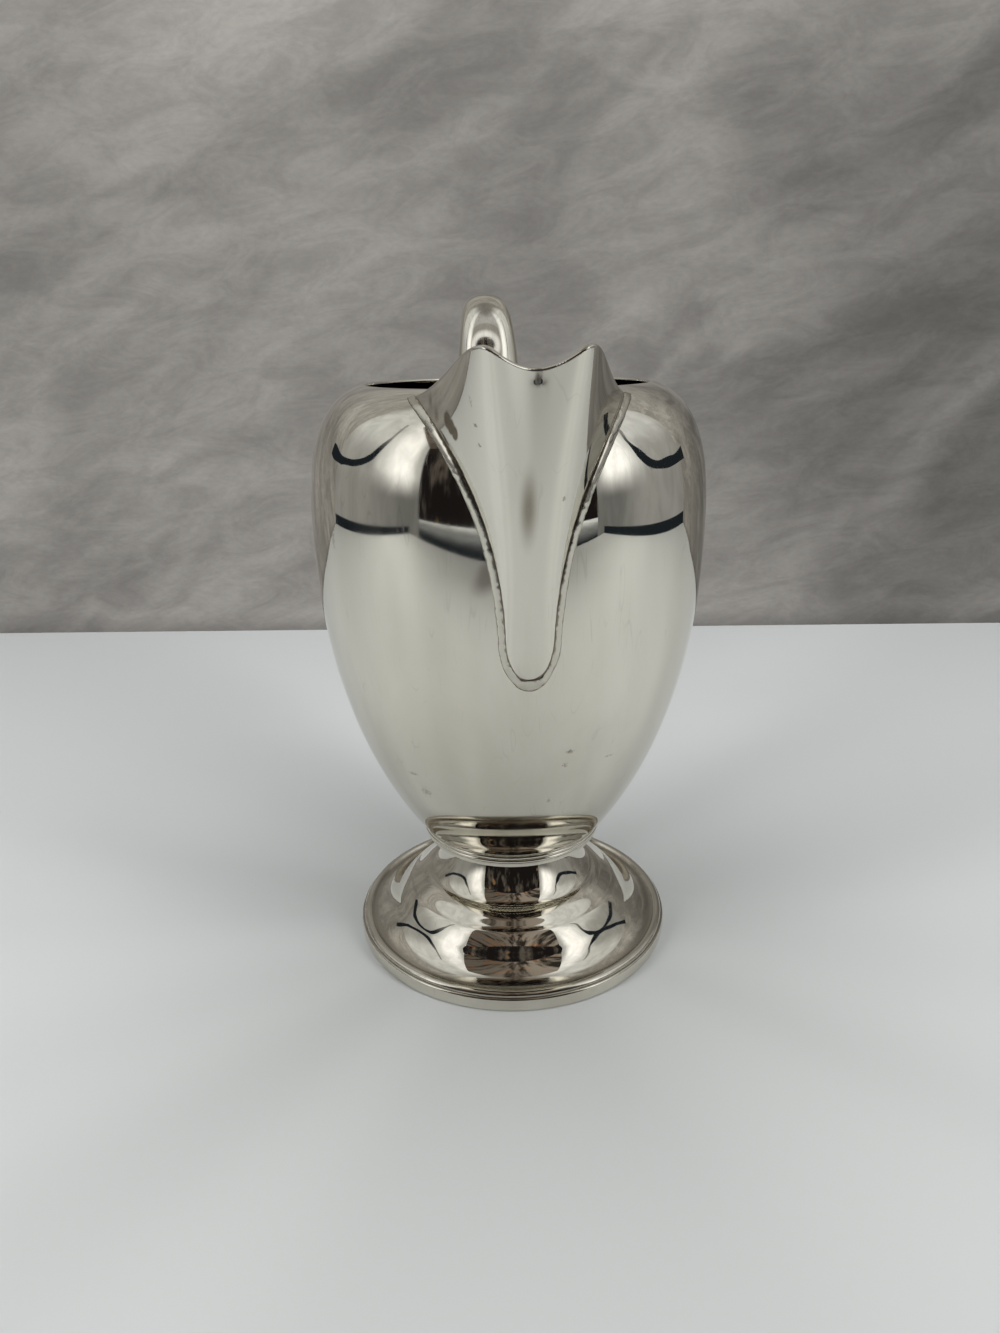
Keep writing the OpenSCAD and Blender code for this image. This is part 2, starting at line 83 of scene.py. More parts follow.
class JugSizes(bpy.types.PropertyGroup):
    """The jug's measured sizes, the same as the part's own."""
    base_d: length("Standing ring", "Outside diameter of the ring that the jug stands on", 68)
    base_ring_h: length("Ring height", "Height of the standing ring", 2.95)
    base_ring_w: length("Ring width", "Width of the standing ring", 2.1)
    foot_h: length("Foot height", "Height of the spun pedestal above the table", 23.9)
    flange_h: length("Flange height", "Height of the flat flange above the table", 3.25)
    flank_d: length("Flank", "Diameter of the foot's dome where its flank is steepest", 51.2)
    flank_h: length("Flank height", "Height of that place above the flange", 3.9)
    bulge_d: length("Dome crease", "Diameter of the crease between dome and small bulge", 45)
    bulge_h: length("Dome crease height", "Height of that crease above the flank", 3.1)
    crease_d: length("Neck crease", "Diameter of the crease between small bulge and neck", 35.6)
    crease_h: length("Neck crease height", "Height of that crease above the lower one", 2.5)
    waist_d: length("Waist", "Diameter of the neck at its waist", 24.6)
    waist_drop: length("Waist drop", "Distance from the top of the foot down to the waist", 2.9)
    foot_wall: length("Foot sheet", "Thickness of the foot's sheet", 0.9)
    edge_w: length("Rolled edge", "Width of the flange's rolled edge", 2.3)
    edge_rise: length("Rolled edge rise", "Height of the rolled edge above the flange", 0.65)
    edge_step: length("Ring overhang", "How far the standing ring reaches beyond the rolled edge", 0.5)
    collar_d: length("Collar", "Outside diameter of the collar", 38.2)
    collar_h: length("Collar thickness", "Thickness of the collar", 1.6)
    collar_bore_d: length("Collar hole", "Diameter of the hole through the collar", 23)
    collar_groove: length("Collar groove", "Depth of the groove between the collar's beads", 0.35)
    foot_bead: length("Foot fillet", "Size of the solder fillet inside the neck", 1.2)
    bowl_h: length("Bowl height", "Height of the bowl from its underside to the rim", 90.7)
    bowl_d: length("Bowl", "Diameter of the bowl at its widest", 75.8)
    bowl_seat_d: length("Bowl underside", "Diameter of the bowl's flat underside", 38)
    mouth_d: length("Mouth", "Diameter of the mouth at the rim", 54)
    belly_h: length("Belly height", "Height of the widest level above the underside", 62.5)
    bowl_wall: length("Bowl sheet", "Thickness of the bowl's sheet", 0.9)
    floor_wall: length("Bowl floor", "Thickness of the bowl's floor", 1.1)
    spout_drop: length("Spout length", "From the rim down to the spout's pointed end", 47.8)
    lip_out: length("Lip reach", "How far the lip stands out beyond the belly", 8.4)
    lip_rise: length("Lip dip", "Height of the dip in the lip above the rim", 3.6)
    peak_rise: length("Lip peaks", "Height of the two peaks over the line from dip to corner", 5.2)
    wing_w: length("Spout corners", "Half the width between the spout's corners", 17.9)
    tip_w: length("Spout end", "Half the width of the spout's rounded end", 4.6)
    tip_round: length("Spout end height", "Height over which the spout's end rounds off", 7.5)
    spout_proud: length("Spout step", "How far the spout's end stands proud of the bowl", 0.95)
    spout_wall: length("Spout sheet", "Thickness of the spout's sheet", 0.7)
    spout_land: length("Spout land", "Width of the strip of bowl behind the spout's edge", 1.2)
    spout_bead: length("Spout solder", "Size of the solder bead round the spout", 0.7)
    seam_lap: length("Solder lap", "How far the solder laps over the spout's sides", 0.3)
    tip_lap: length("Solder lap at the end", "How far the solder laps over the spout's lower end", 1.1)
    cheek_push: length("Cheek push", "How far the lip's cheeks stand before its middle", 6.3)
    handle_rise: length("Handle rise", "Height of the handle's top above the rim", 17.9)
    handle_out: length("Handle reach", "How far the handle stands out behind the belly", 36.8)
    upper_joint_drop: length("Upper joint", "From the rim down to the upper joint", 8.8)
    lower_joint_drop: length("Lower joint", "From the rim down to the lower joint", 50.5)
    handle_top_w: length("Handle top width", "Width of the handle at its upper joint", 14.7)
    handle_crown_w: length("Handle crown width", "Width of the handle at its crown", 11.4)
    handle_end_w: length("Handle end width", "Width of the handle at its lower joint", 10)
    handle_top_t: length("Handle top depth", "Thickness of the handle at its upper joint", 9.6)
    handle_end_t: length("Handle end depth", "Thickness of the handle at its lower joint", 6.8)
    handle_wall: length("Handle sheet", "Thickness of the handle's sheet", 0.8)
    handle_bead: length("Handle solder", "Size of the solder beads at the handle's ends", 0.9)
    seat_gap: length("Seat gap", "Gap between a soldered piece and what it sits on", 0.03)


class SilverFinish(bpy.types.PropertyGroup):
    """The colours and the wear of the plate."""
    silver: colour("Silver", "Clean polished plate", (0.755, 0.73, 0.655))
    foot_silver: colour("Foot silver", "Plate of the foot, a little warmer", (0.735, 0.705, 0.625))
    solder: colour("Solder", "Plated solder bead", (0.64, 0.615, 0.545))
    # Brown-grey of the darkened places: patina with painted shade in the creases, painted shade along the
    # spout's solder, and the dark marks and patches, one of them a painted reflection.
    patina_and_shade: colour("Patina and shade", "Brown-grey patina and painted shade in creases", (0.22, 0.185, 0.14))
    polish: share("Polish", "Roughness of a freshly wiped place", 0.018)
    haze: share("Haze", "How much wiping and handling dull the mirror", 0.05)
    wear: share("Wear", "Strength of the fine scratches", 0.30)


class StageSettings(bpy.types.PropertyGroup):
    """The table, the small tent of grey cloth round it, its light and the camera."""
    floor: colour("Table", "White table top", (0.765, 0.785, 0.775))
    cloth: colour("Cloth", "Plain grey cloth of the tent", (0.235, 0.225, 0.21))
    side: colour("Side cloth", "The tent's cloth at its sides, beside the jug", (0.70, 0.71, 0.70))
    bright: colour("Lit cloth", "The tent's cloth beside its two upright lights", (1.0, 1.0, 1.0))
    lining: colour("Lining", "The tent's cloth below the sagging seam", (0.295, 0.295, 0.285))
    # Painted shade: the dark of the gaps between cloths and before the table.
    seam: colour("Seam", "Dark gap between two cloths", (0.014, 0.018, 0.022))
    opening: colour("Opening", "The dim room in front of the tent", (0.115, 0.100, 0.085))
    sky: colour("Light", "Soft light that comes through the tent's cloth", (0.80, 0.815, 0.83))
    turn: angle("Turn", "How far the jug is turned out of the camera's line", 5.1)
    back_y: length("Back cloth", "From the jug's axis back to the cloth", 218.6)
    front_y: length("Table front", "From the jug's axis to the front of the table", 435)
    left_x: length("Left cloth", "From the jug's axis to the left cloth", 600)
    right_x: length("Right cloth", "From the jug's axis to the right cloth", 555)
    tent_h: length("Tent height", "Height of the tent's top cloth", 740)
    camera_y: length("Camera distance", "From the jug's axis to the camera, along the table", 179.5)
    camera_z: length("Camera height", "Height of the camera above the table", 123.7)
    camera_pitch: angle("Camera tilt", "How far the camera looks down", 19.67)
    camera_roll: angle("Camera roll", "How far the camera leans", -0.796)
    camera_pan: angle("Camera pan", "How far the camera looks aside", -0.659)
    lens: bpy.props.FloatProperty(name="Lens", description="Focal length", default=24.711,
                                  unit="CAMERA", subtype="DISTANCE_CAMERA")


# Shapes

def cubic(points, t):
    """The place at t on the cubic curve that four points pull."""
    a = 1.0 - t
    weights = (a * a * a, 3 * a * a * t, 3 * a * t * t, t * t * t)
    return tuple(sum(w * p[k] for w, p in zip(weights, points)) for k in range(len(points[0])))


def cubic_way(points, t):
    """The direction of that curve at t."""
    a = 1.0 - t
    legs = [[q[k] - p[k] for k in range(len(p))] for p, q in zip(points, points[1:])]
    weights = (3 * a * a, 6 * a * t, 3 * t * t)
    return tuple(sum(w * leg[k] for w, leg in zip(weights, legs)) for k in range(len(legs[0])))


def run_of(points, steps):
    """Even steps along the curve, without its end."""
    return [cubic(points, i / steps) for i in range(steps)]


def beside(path, distance):
    """The line that runs beside an outline, at a distance on its left."""
    shifted = []
    last = len(path) - 1
    for i, (x, y) in enumerate(path):
        x0, y0 = path[max(i - 1, 0)]
        x1, y1 = path[min(i + 1, last)]
        size = math.hypot(x1 - x0, y1 - y0)
        shifted.append((x - distance * (y1 - y0) / size, y + distance * (x1 - x0) / size))
    return shifted


def eased(x):
    """Turns an even run from 0 to 1 into one that starts and ends slowly."""
    return x * x * (3.0 - 2.0 * x)


def slope_curve(start, lean, pull, end, end_lean, end_pull):
    """Four points of a curve that leaves and meets its places at slopes, in degrees downhill."""
    chord = math.hypot(end[0] - start[0], end[1] - start[1])
    a, b = math.radians(lean), math.radians(end_lean)
    return [start, (start[0] + pull * chord * math.cos(a), start[1] - pull * chord * math.sin(a)),
            (end[0] - end_pull * chord * math.cos(b), end[1] + end_pull * chord * math.sin(b)), end]


def part_way(value, start, end):
    """How far a value has come from start to end, from 0 to 1."""
    return min(max((value - start) / (end - start), 0.0), 1.0)


def mixed(low, high, amount):
    """The value between two, at a share of the way."""
    return low + (high - low) * amount


class JugShape:
    """The jug's outlines and surfaces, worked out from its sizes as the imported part's are."""

    # Where the curves of the bowl's outline are pulled to
    BOWL_FOOT_PULL = 0.5
    BOWL_FOOT_LEAN = math.radians(52)
    BOWL_BELLY_PULL = 0.4
    BOWL_SHOULDER_RISE = 0.34
    BOWL_RIM_PULL = 1.02
    BOWL_RIM_DROP = 0.11
    # The spout: its rows start a little above its lower end
    START = 0.0004
    SEAM_FLARE = 2.6
    CREST_FLARE = 1.15
    FLANK_POWER = 1.6
    CHEEK_POWER = 5
    PEAK_GROWTH = 4
    PEAK_POWER = 1.4
    CHEEK = 0.58
    FLANK = (0.95, 0.45)
    FLANK_OUT = (0.6, 0.83)
    SOFT_MIDDLE = 0.09
    HANDLE_DOME = 0.62
    HANDLE_FLAT = 0.72
    # The handle's line: its three curves, and where they are pulled to
    CURVES = 3
    NECK_OUT, NECK_UP, RISE_OUT, CROWN = 0.612, 0.067, 0.363, 0.665
    ROUND, BACK, DOWN, INWARDS, END_UP = 0.62, 0.33, 0.53, 0.43, 0.09

    def __init__(self, sizes):
        self.sizes = s = sizes
        self.seat_z = s.foot_h + s.collar_h
        self.rim_z = self.seat_z + s.bowl_h
        self.belly_z = self.seat_z + s.belly_h
        self.belly_r = s.bowl_d / 2
        self.mouth_r = s.mouth_d / 2
        self.tip_z = self.rim_z - s.spout_drop + s.tip_lap
        self.seam_h = self.rim_z - self.tip_z - s.bowl_wall - s.seat_gap
        self.dip_h = self.rim_z - self.tip_z + s.lip_rise
        self.dip_x = self.belly_r + s.lip_out
        self.bowl_outline = self.bowl_side(80)
        self.heights = [z for r, z in self.bowl_outline]
        self.tip_x = self.bowl_r_at(self.tip_z)
        self.handle_curves = self.handle_lines()

    def bowl_side(self, steps):
        """The bowl's outside from its underside to its rim."""
        s = self.sizes
        seat_r, belly_r, mouth_r = s.bowl_seat_d / 2, self.belly_r, self.mouth_r
        pull, lean = self.BOWL_FOOT_PULL * s.bowl_seat_d, self.BOWL_FOOT_LEAN
        shoulder_h = self.rim_z - self.belly_z
        low = [(seat_r, self.seat_z),
               (seat_r + pull * math.cos(lean), self.seat_z + pull * math.sin(lean)),
               (belly_r, self.belly_z - self.BOWL_BELLY_PULL * s.belly_h),
               (belly_r, self.belly_z)]
        high = [(belly_r, self.belly_z),
                (belly_r, self.belly_z + self.BOWL_SHOULDER_RISE * shoulder_h),
                (mouth_r + self.BOWL_RIM_PULL * (belly_r - mouth_r),
                 self.rim_z - self.BOWL_RIM_DROP * shoulder_h),
                (mouth_r, self.rim_z)]
        return run_of(low, steps) + run_of(high, steps) + [(mouth_r, self.rim_z)]

    def bowl_r_at(self, z):
        """The bowl's outside radius at a height."""
        i = min(max(bisect_left(self.heights, z), 1), len(self.heights) - 1)
        (r0, z0), (r1, z1) = self.bowl_outline[i - 1], self.bowl_outline[i]
        return mixed(r0, r1, part_way(z, z0, z1))

    def bowl_x_at(self, y, z):
        """How far out the bowl's side stands at a sideways place and a height."""
        return math.sqrt(max(self.bowl_r_at(z) ** 2 - y * y, 0.0))

    def tip_rounding(self, h):
        """How much of its full width the spout has at the height h above its lower end."""
        return math.sqrt(max(1.0 - (1.0 - min(h / self.sizes.tip_round, 1.0)) ** 2, 0.0))

    def seam_y(self, h):
        """Half the width of the spout's outline on the bowl."""
        s = self.sizes
        h = min(max(h, 0.0), self.seam_h)
        end_w = s.tip_w - s.seam_lap
        flare = (h / self.seam_h) ** self.SEAM_FLARE
        return end_w * self.tip_rounding(h) + (s.wing_w - s.tip_w) * flare

    def crest_x(self, t):
        """How far out the spout's middle line stands."""
        s = self.sizes
        return (self.tip_x + (self.dip_x - self.tip_x - s.spout_proud) * t ** self.CREST_FLARE
                + s.spout_proud * self.tip_rounding(t * self.dip_h))

    def rounded(self, a):
        """The share a from the middle to an edge, made to start slowly so that no crease stays."""
        soft = self.SOFT_MIDDLE
        return (math.hypot(a, soft) - soft) / (math.hypot(1.0, soft) - soft)

    def spout_point(self, t, u):
        """The spout's outside: t runs from its lower end to the lip, u from edge to edge."""
        s = self.sizes
        a = abs(u)
        h = t * self.seam_h
        y = self.seam_y(h)
        x_edge = self.bowl_x_at(y, self.tip_z + h) + s.seat_gap
        x_mid = max(self.crest_x(t), x_edge)
        near_lip = t ** self.FLANK_POWER
        flank = mixed(*self.FLANK, near_lip)
        flank_out = mixed(*self.FLANK_OUT, near_lip)
        pulls = [(x_mid, 0.0),
                 (x_mid + s.cheek_push * t ** self.CHEEK_POWER, self.CHEEK * y),
                 (x_edge + flank_out * (x_mid - x_edge), flank * y),
                 (x_edge, y)]
        px, py = cubic(pulls, self.rounded(a))[0], cubic(pulls, a)[1]
        peak = s.peak_rise * t ** self.PEAK_GROWTH * math.sin(math.pi * a) ** self.PEAK_POWER
        pz = self.tip_z + t * (self.dip_h + (self.seam_h - self.dip_h) * a) + peak
        return Vector((px, math.copysign(py, u), pz))

    def spout_over(self, y, z):
        """The place on the spout's outside at a sideways place and a height near its edge."""
        side, t = math.copysign(1.0, y), 0.0
        place = None
        for _ in range(4):
            t = min(max(t + (z - (place.z if place else self.tip_z)) / self.seam_h, self.START), 1.0)
            low, high = 0.0, 1.0
            for _ in range(14):
                middle = (low + high) / 2
                if abs(self.spout_point(t, side * middle).y) < abs(y):
                    low = middle
                else:
                    high = middle
            place = self.spout_point(t, side * low)
        return place

    def handle_t(self, part):
        """The handle's thickness, at a part of its way from 0 to 3."""
        s = self.sizes
        return mixed(s.handle_top_t, s.handle_end_t, part / self.CURVES)

    def handle_w(self, part):
        """The handle's width there."""
        s = self.sizes
        if part < 1:
            return mixed(s.handle_top_w, s.handle_crown_w, eased(part) ** 3)
        return mixed(s.handle_crown_w, s.handle_end_w, eased((part - 1) / (self.CURVES - 1)))

    def handle_lines(self):
        """The three curves along the handle's widest places, as (x, z)."""
        s = self.sizes
        upper_z = self.rim_z - s.upper_joint_drop
        lower_z = self.rim_z - s.lower_joint_drop
        upper_x, lower_x = -self.bowl_r_at(upper_z), -self.bowl_r_at(lower_z)
        crown_z = self.rim_z + s.handle_rise - self.HANDLE_DOME * self.handle_t(1)
        back_x = -(self.belly_r + s.handle_out) + self.HANDLE_DOME * self.handle_t(2)
        run = back_x - upper_x
        rise = crown_z - upper_z
        back_z = crown_z - self.BACK * (crown_z - lower_z)
        crown_x = upper_x + self.CROWN * run
        up = [(upper_x, upper_z), (upper_x + self.NECK_OUT * run, upper_z + self.NECK_UP * rise),
              (upper_x + self.RISE_OUT * run, crown_z), (crown_x, crown_z)]
        back = [(crown_x, crown_z), (mixed(crown_x, back_x, self.ROUND), crown_z),
                (back_x, mixed(back_z, crown_z, self.ROUND)), (back_x, back_z)]
        down = [(back_x, back_z), (back_x, mixed(back_z, lower_z, self.DOWN)),
                (mixed(back_x, lower_x, self.INWARDS), mixed(lower_z, back_z, self.END_UP)),
                (lower_x, lower_z)]
        return [up, back, down]

    def dome_reach(self, t, turn):
        """How far the section reaches from its widest line, at an angle from the outside."""
        lean = math.cos(turn)
        if lean > 0:
            return self.HANDLE_DOME * t * lean ** self.HANDLE_FLAT
        return (1 - self.HANDLE_DOME) * t * lean

    def handle_point(self, part, turn, side):
        """A place on the handle's outside, kept out of the bowl."""
        s = self.sizes
        number = min(int(part), self.CURVES - 1)
        curve = self.handle_curves[number]
        x, z = cubic(curve, part - number)
        way = Vector(cubic_way(curve, part - number)).normalized()
        reach = self.dome_reach(self.handle_t(part), turn)
        py = side * self.handle_w(part) / 2 * math.sin(turn)
        px, pz = x + way.y * reach, z - way.x * reach
        wall = -self.bowl_x_at(py, pz) - s.seat_gap
        ends = part == 0 or part == self.CURVES
        return Vector((wall if ends else min(px, wall), py, pz))


# Making meshes

def clear_choice():
    """Leaves edit mode and deselects everything."""
    if bpy.context.object and bpy.context.object.mode != "OBJECT":
        bpy.ops.object.mode_set(mode="OBJECT")
    bpy.ops.object.select_all(action="DESELECT")


def choose(piece):
    """Makes one piece the selected and active one."""
    clear_choice()
    piece.select_set(True)
    bpy.context.view_layer.objects.active = piece


def named(name):
    """Names the piece that was just added."""
    piece = bpy.context.object
    piece.name = name
    piece.data.name = name
    return piece


def edit_all():
    """Opens the active piece in edit mode, with all of it selected."""
    bpy.ops.object.mode_set(mode="EDIT")
    bpy.ops.mesh.select_all(action="SELECT")


def merge_doubles():
    """Merges the points that lie on each other."""
    bpy.ops.mesh.select_all(action="SELECT")
    bpy.ops.mesh.remove_doubles(threshold=DOUBLE)


def leave_edit(outwards=True):
    """Turns the faces outwards, where that is wanted, and leaves edit mode."""
    if outwards:
        bpy.ops.mesh.select_all(action="SELECT")
        bpy.ops.mesh.normals_make_consistent(inside=False)
    bpy.ops.object.mode_set(mode="OBJECT")


def turned(name, outline, steps=224):
    """A piece spun round the jug's axis from its closed outline of (radius, height)."""
    clear_choice()
    bpy.ops.mesh.primitive_circle_add(vertices=len(outline), radius=MM, fill_type="NOTHING")
    piece = named(name)
    for vertex, (radius, height) in zip(piece.data.vertices, outline):
        vertex.co = (max(radius, 0.0), 0.0, height)
    edit_all()
    bpy.ops.mesh.spin(steps=steps, angle=math.tau, center=(0, 0, 0), axis=(0, 0, 1))
    merge_doubles()
    bpy.ops.mesh.delete_loose(use_verts=True, use_edges=True, use_faces=False)
    leave_edit()
    return piece


def sheet_from(name, rows):
    """A grid whose points are moved onto the rows of a surface."""
    clear_choice()
    bpy.ops.mesh.primitive_grid_add(x_subdivisions=len(rows[0]) - 1, y_subdivisions=len(rows) - 1, size=MM)
    piece = named(name)
    places = [place for row in rows for place in row]
    for vertex, place in zip(piece.data.vertices, places):
        vertex.co = place
    piece.data.update()
    return piece


def closed_tube(name, rings, ends=True, across=()):
    """A tube through rings of points, sewn along its side and closed at its ends.

    across gives each point of a ring its value of the attribute "across", for the piece's finish.
    """
    piece = sheet_from(name, [ring + [ring[0]] for ring in rings])
    if across:
        kept = piece.data.attributes.new("across", "FLOAT", "POINT")
        kept.data.foreach_set("value", (list(across) + [across[0]]) * len(rings))
    edit_all()
    merge_doubles()
    if ends:
        bpy.ops.mesh.fill_holes(sides=0)
    leave_edit()
    return piece


def give_wall(piece, wall):
    """Thickens a sheet inwards."""
    choose(piece)
    solid = piece.modifiers.new("Wall", "SOLIDIFY")
    solid.thickness = wall
    solid.offset = -1.0
    solid.use_even_offset = True
    bpy.ops.object.modifier_apply(modifier=solid.name)


def smooth(piece, degrees):
    """Smooth shading, with the edges that are sharper than an angle kept crisp."""
    choose(piece)
    bpy.ops.object.shade_smooth_by_angle(angle=math.radians(degrees))


def hand_over(piece, material, slot, *nodes):
    """Gives a finished piece its material and puts it in the place of its CAD nodes."""
    piece.data.materials.clear()
    piece.data.materials.append(material)
    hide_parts(*nodes)
    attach(piece, "root")


# Shader nodes

def add(tree, kind, **settings):
    """A node with its settings."""
    node = tree.nodes.new(kind)
    for key, value in settings.items():
        setattr(node, key, value)
    return node


def feed(tree, socket, value):
    """Links a socket to another, or sets its value."""
    if isinstance(value, bpy.types.NodeSocket):
        tree.links.new(value, socket)
    else:
        socket.default_value = value


def feed_all(tree, node, **values):
    """Feeds several named sockets of a node."""
    for label, value in values.items():
        feed(tree, node.inputs[label], value)


def calc(tree, operation, a, b=0.0, c=None, clamp=False):
    """A Math node's result."""
    node = add(tree, "ShaderNodeMath", operation=operation, use_clamp=clamp)
    for socket, value in zip(node.inputs, (a, b, c)):
        if value is not None:
            feed(tree, socket, value)
    return node.outputs[0]


def times(tree, *values):
    """The product of several values."""
    product = values[0]
    for value in values[1:]:
        product = calc(tree, "MULTIPLY", product, value)
    return product


def vector_calc(tree, operation, a, b=None):
    """A Vector Math node's result: a number for LENGTH and DISTANCE, a vector for the others."""
    node = add(tree, "ShaderNodeVectorMath", operation=operation)
    feed(tree, node.inputs[0], a)
    if b is not None:
        feed(tree, node.inputs["Scale" if operation == "SCALE" else 1], b)
    return node.outputs["Value" if operation in ("LENGTH", "DISTANCE") else "Vector"]


def ramp(tree, value, start, end, low=0.0, high=1.0):
    """A smooth run from low to high while the value goes from start to end."""
    node = add(tree, "ShaderNodeMapRange", interpolation_type="SMOOTHSTEP")
    for socket, given in zip(node.inputs, (value, start, end, low, high)):
        feed(tree, socket, given)
    return node.outputs[0]


def turn_ramp(tree, value, start, end, low=0.0, high=1.0):
    """The same run over an angle, with its start and end in degrees."""
    return ramp(tree, value, math.radians(start), math.radians(end), low, high)


def mapped(tree, vector, scale=(1, 1, 1), turn=(0, 0, 0), shift=(0, 0, 0)):
    """Coordinates that a Mapping node scales, turns and shifts."""
    node = add(tree, "ShaderNodeMapping")
    feed_all(tree, node, Vector=vector, Scale=scale, Rotation=turn, Location=shift)
    return node.outputs[0]


def cloud(tree, vector, scale, detail=2.0, roughness=0.5, distortion=0.0):
    """A Noise Texture's value."""
    node = add(tree, "ShaderNodeTexNoise")
    feed_all(tree, node, Vector=vector, Scale=scale, Detail=detail, Roughness=roughness,
             Distortion=distortion)
    return node.outputs["Fac"]


def object_place(tree):
    """The Object coordinates."""
    return add(tree, "ShaderNodeTexCoord").outputs["Object"]


def object_parts(tree):
    """The Object coordinates, whole and as their X, Y and Z."""
    where = object_place(tree)
    parts = add(tree, "ShaderNodeSeparateXYZ")
    feed(tree, parts.inputs[0], where)
    return (where, *parts.outputs)


def scaled(values, factor):
    """A colour or a place whose numbers are each taken times a factor."""
    return tuple(value * factor for value in values)


def colour_mix(tree, amount, low, high):
    """A Mix node for colours. A plain colour is given without its alpha."""
    node = add(tree, "ShaderNodeMix", data_type="RGBA")
    feed(tree, node.inputs[0], amount)
    for socket, tint in ((node.inputs[6], low), (node.inputs[7], high)):
        feed(tree, socket, tint if isinstance(tint, bpy.types.NodeSocket) else (*tint, 1.0))
    return node.outputs[2]


def bumped(tree, height, distance, normal=None, invert=False):
    """A Bump node's normal, over the normal so far."""
    node = add(tree, "ShaderNodeBump", invert=invert)
    feed_all(tree, node, Distance=distance, Height=height)
    if normal:
        feed(tree, node.inputs["Normal"], normal)
    return node.outputs["Normal"]


# Effects that several finishes share

def hairline_scratches(tree, given):
    """Short fine scratches that run in a few directions, as wiping and use leave them."""
    total = 0.0
    turns = ((0.2, 0.4, 0.1), (1.3, 0.2, 1.1), (0.5, 1.2, 2.2), (2.0, 0.7, 0.4))
    for number, turn in enumerate(turns):
        way = mapped(tree, given["Vector"], (1.0, 1.0, 0.045), turn, (number * 0.31, 0, 0))
        wave = cloud(tree, way, given["Density"], detail=0.0)
        offset = calc(tree, "ABSOLUTE", calc(tree, "SUBTRACT", wave, 0.5))
        line = ramp(tree, offset, given["Width"], 0.0)
        patch = cloud(tree, mapped(tree, given["Vector"], shift=(0, number * 0.17, 0)), 130.0, detail=1.0)
        total = calc(tree, "MULTIPLY_ADD", line, ramp(tree, patch, 0.57, 0.70), total)
    return [calc(tree, "MULTIPLY", total, given["Amount"], clamp=True)]


def wiped_haze(tree, given):
    """Broad soft smears, where wiping and handling have dulled the mirror a little."""
    smear = mapped(tree, given["Vector"], (1.0, 1.0, 0.45), (0.3, 0.2, 0.0))
    broad = cloud(tree, smear, given["Scale"], detail=5.0, roughness=0.62, distortion=0.6)
    fine = cloud(tree, given["Vector"], times(tree, given["Scale"], 14.0), detail=3.0)
    return [ramp(tree, broad, 0.40, 0.72), ramp(tree, fine, 0.35, 0.75)]


def crease_patina_and_shade(tree, given):
    """Brown-grey darkening in a crease turned round the axis, at one height: patina with painted shade."""
    parts = add(tree, "ShaderNodeSeparateXYZ")
    feed(tree, parts.inputs[0], given["Vector"])
    off = calc(tree, "ABSOLUTE", calc(tree, "SUBTRACT", parts.outputs["Z"], given["Height"]))
    uneven = cloud(tree, given["Vector"], 420.0, detail=4.0, roughness=0.6)
    reach = times(tree, given["Reach"], ramp(tree, uneven, 0.25, 0.8, 0.45, 1.6))
    return [calc(tree, "MULTIPLY", ramp(tree, off, reach, 0.0), given["Amount"], clamp=True)]


def off_centre(tree, given):
    """How far a place is from a mark's centre, in sizes of the mark."""
    off = vector_calc(tree, "SUBTRACT", given["Vector"], given["Centre"])
    return vector_calc(tree, "LENGTH", vector_calc(tree, "DIVIDE", off, given["Size"]))


def ragged_mark(tree, given):
    """One small dark, ragged mark on the plate, only as large as its size."""
    ragged = cloud(tree, given["Vector"], 2600.0, detail=3.0, roughness=0.7)
    edge = calc(tree, "ADD", off_centre(tree, given), ramp(tree, ragged, 0.3, 0.7, -0.55, 0.75))
    return [calc(tree, "MULTIPLY", ramp(tree, edge, 1.0, 0.45), given["Amount"], clamp=True)]


def soft_dark_patch(tree, given):
    """A soft dark, dull patch without an edge."""
    fade = ramp(tree, off_centre(tree, given), 1.5, 0.1)
    return [calc(tree, "MULTIPLY", fade, given["Amount"], clamp=True)]


def burnished_waves(tree, given):
    """The slight unevenness of a spun sheet: faint rings and broad soft waves."""
    rings = cloud(tree, mapped(tree, given["Vector"], (0.04, 0.04, 1.0)), 420.0, detail=1.0)
    broad = cloud(tree, given["Vector"], 70.0, detail=1.0)
    return [calc(tree, "MULTIPLY_ADD", rings, given["Rings"], broad)]


SPOT = {"Centre": (0.0, 0.0, 0.0), "Size": (MM, MM, MM), "Amount": 0.5}
EFFECTS = {
    "Hairline scratches": (hairline_scratches, {"Density": 500.0, "Width": 0.02, "Amount": 0.5}, ("Mask",)),
    "Wiped haze": (wiped_haze, {"Scale": 45.0}, ("Mask", "Fine")),
    "Crease patina and shade": (crease_patina_and_shade, {"Height": 0.0, "Reach": MM, "Amount": 0.5}, ("Mask",)),
    "Ragged mark": (ragged_mark, SPOT, ("Mask",)),
    "Soft dark patch": (soft_dark_patch, SPOT, ("Mask",)),
    "Burnished waves": (burnished_waves, {"Rings": 0.3}, ("Height",)),
}


def effect_group(name):
    """The shader group of an effect, made when it is first used. All of them read a Vector."""
    group = bpy.data.node_groups.get(name)
    if group:
        return group
    build, inputs, outputs = EFFECTS[name]
    group = bpy.data.node_groups.new(name, "ShaderNodeTree")
    sockets = group.interface
    sockets.new_socket("Vector", in_out="INPUT", socket_type="NodeSocketVector")
    for label, value in inputs.items():
        kind = "NodeSocketVector" if isinstance(value, tuple) else "NodeSocketFloat"
        sockets.new_socket(label, in_out="INPUT", socket_type=kind).default_value = value
    for label in outputs:
        sockets.new_socket(label, in_out="OUTPUT", socket_type="NodeSocketFloat")
    given, made = add(group, "NodeGroupInput"), add(group, "NodeGroupOutput")
    for label, value in zip(outputs, build(group, given.outputs)):
        feed(group, made.inputs[label], value)
    return group


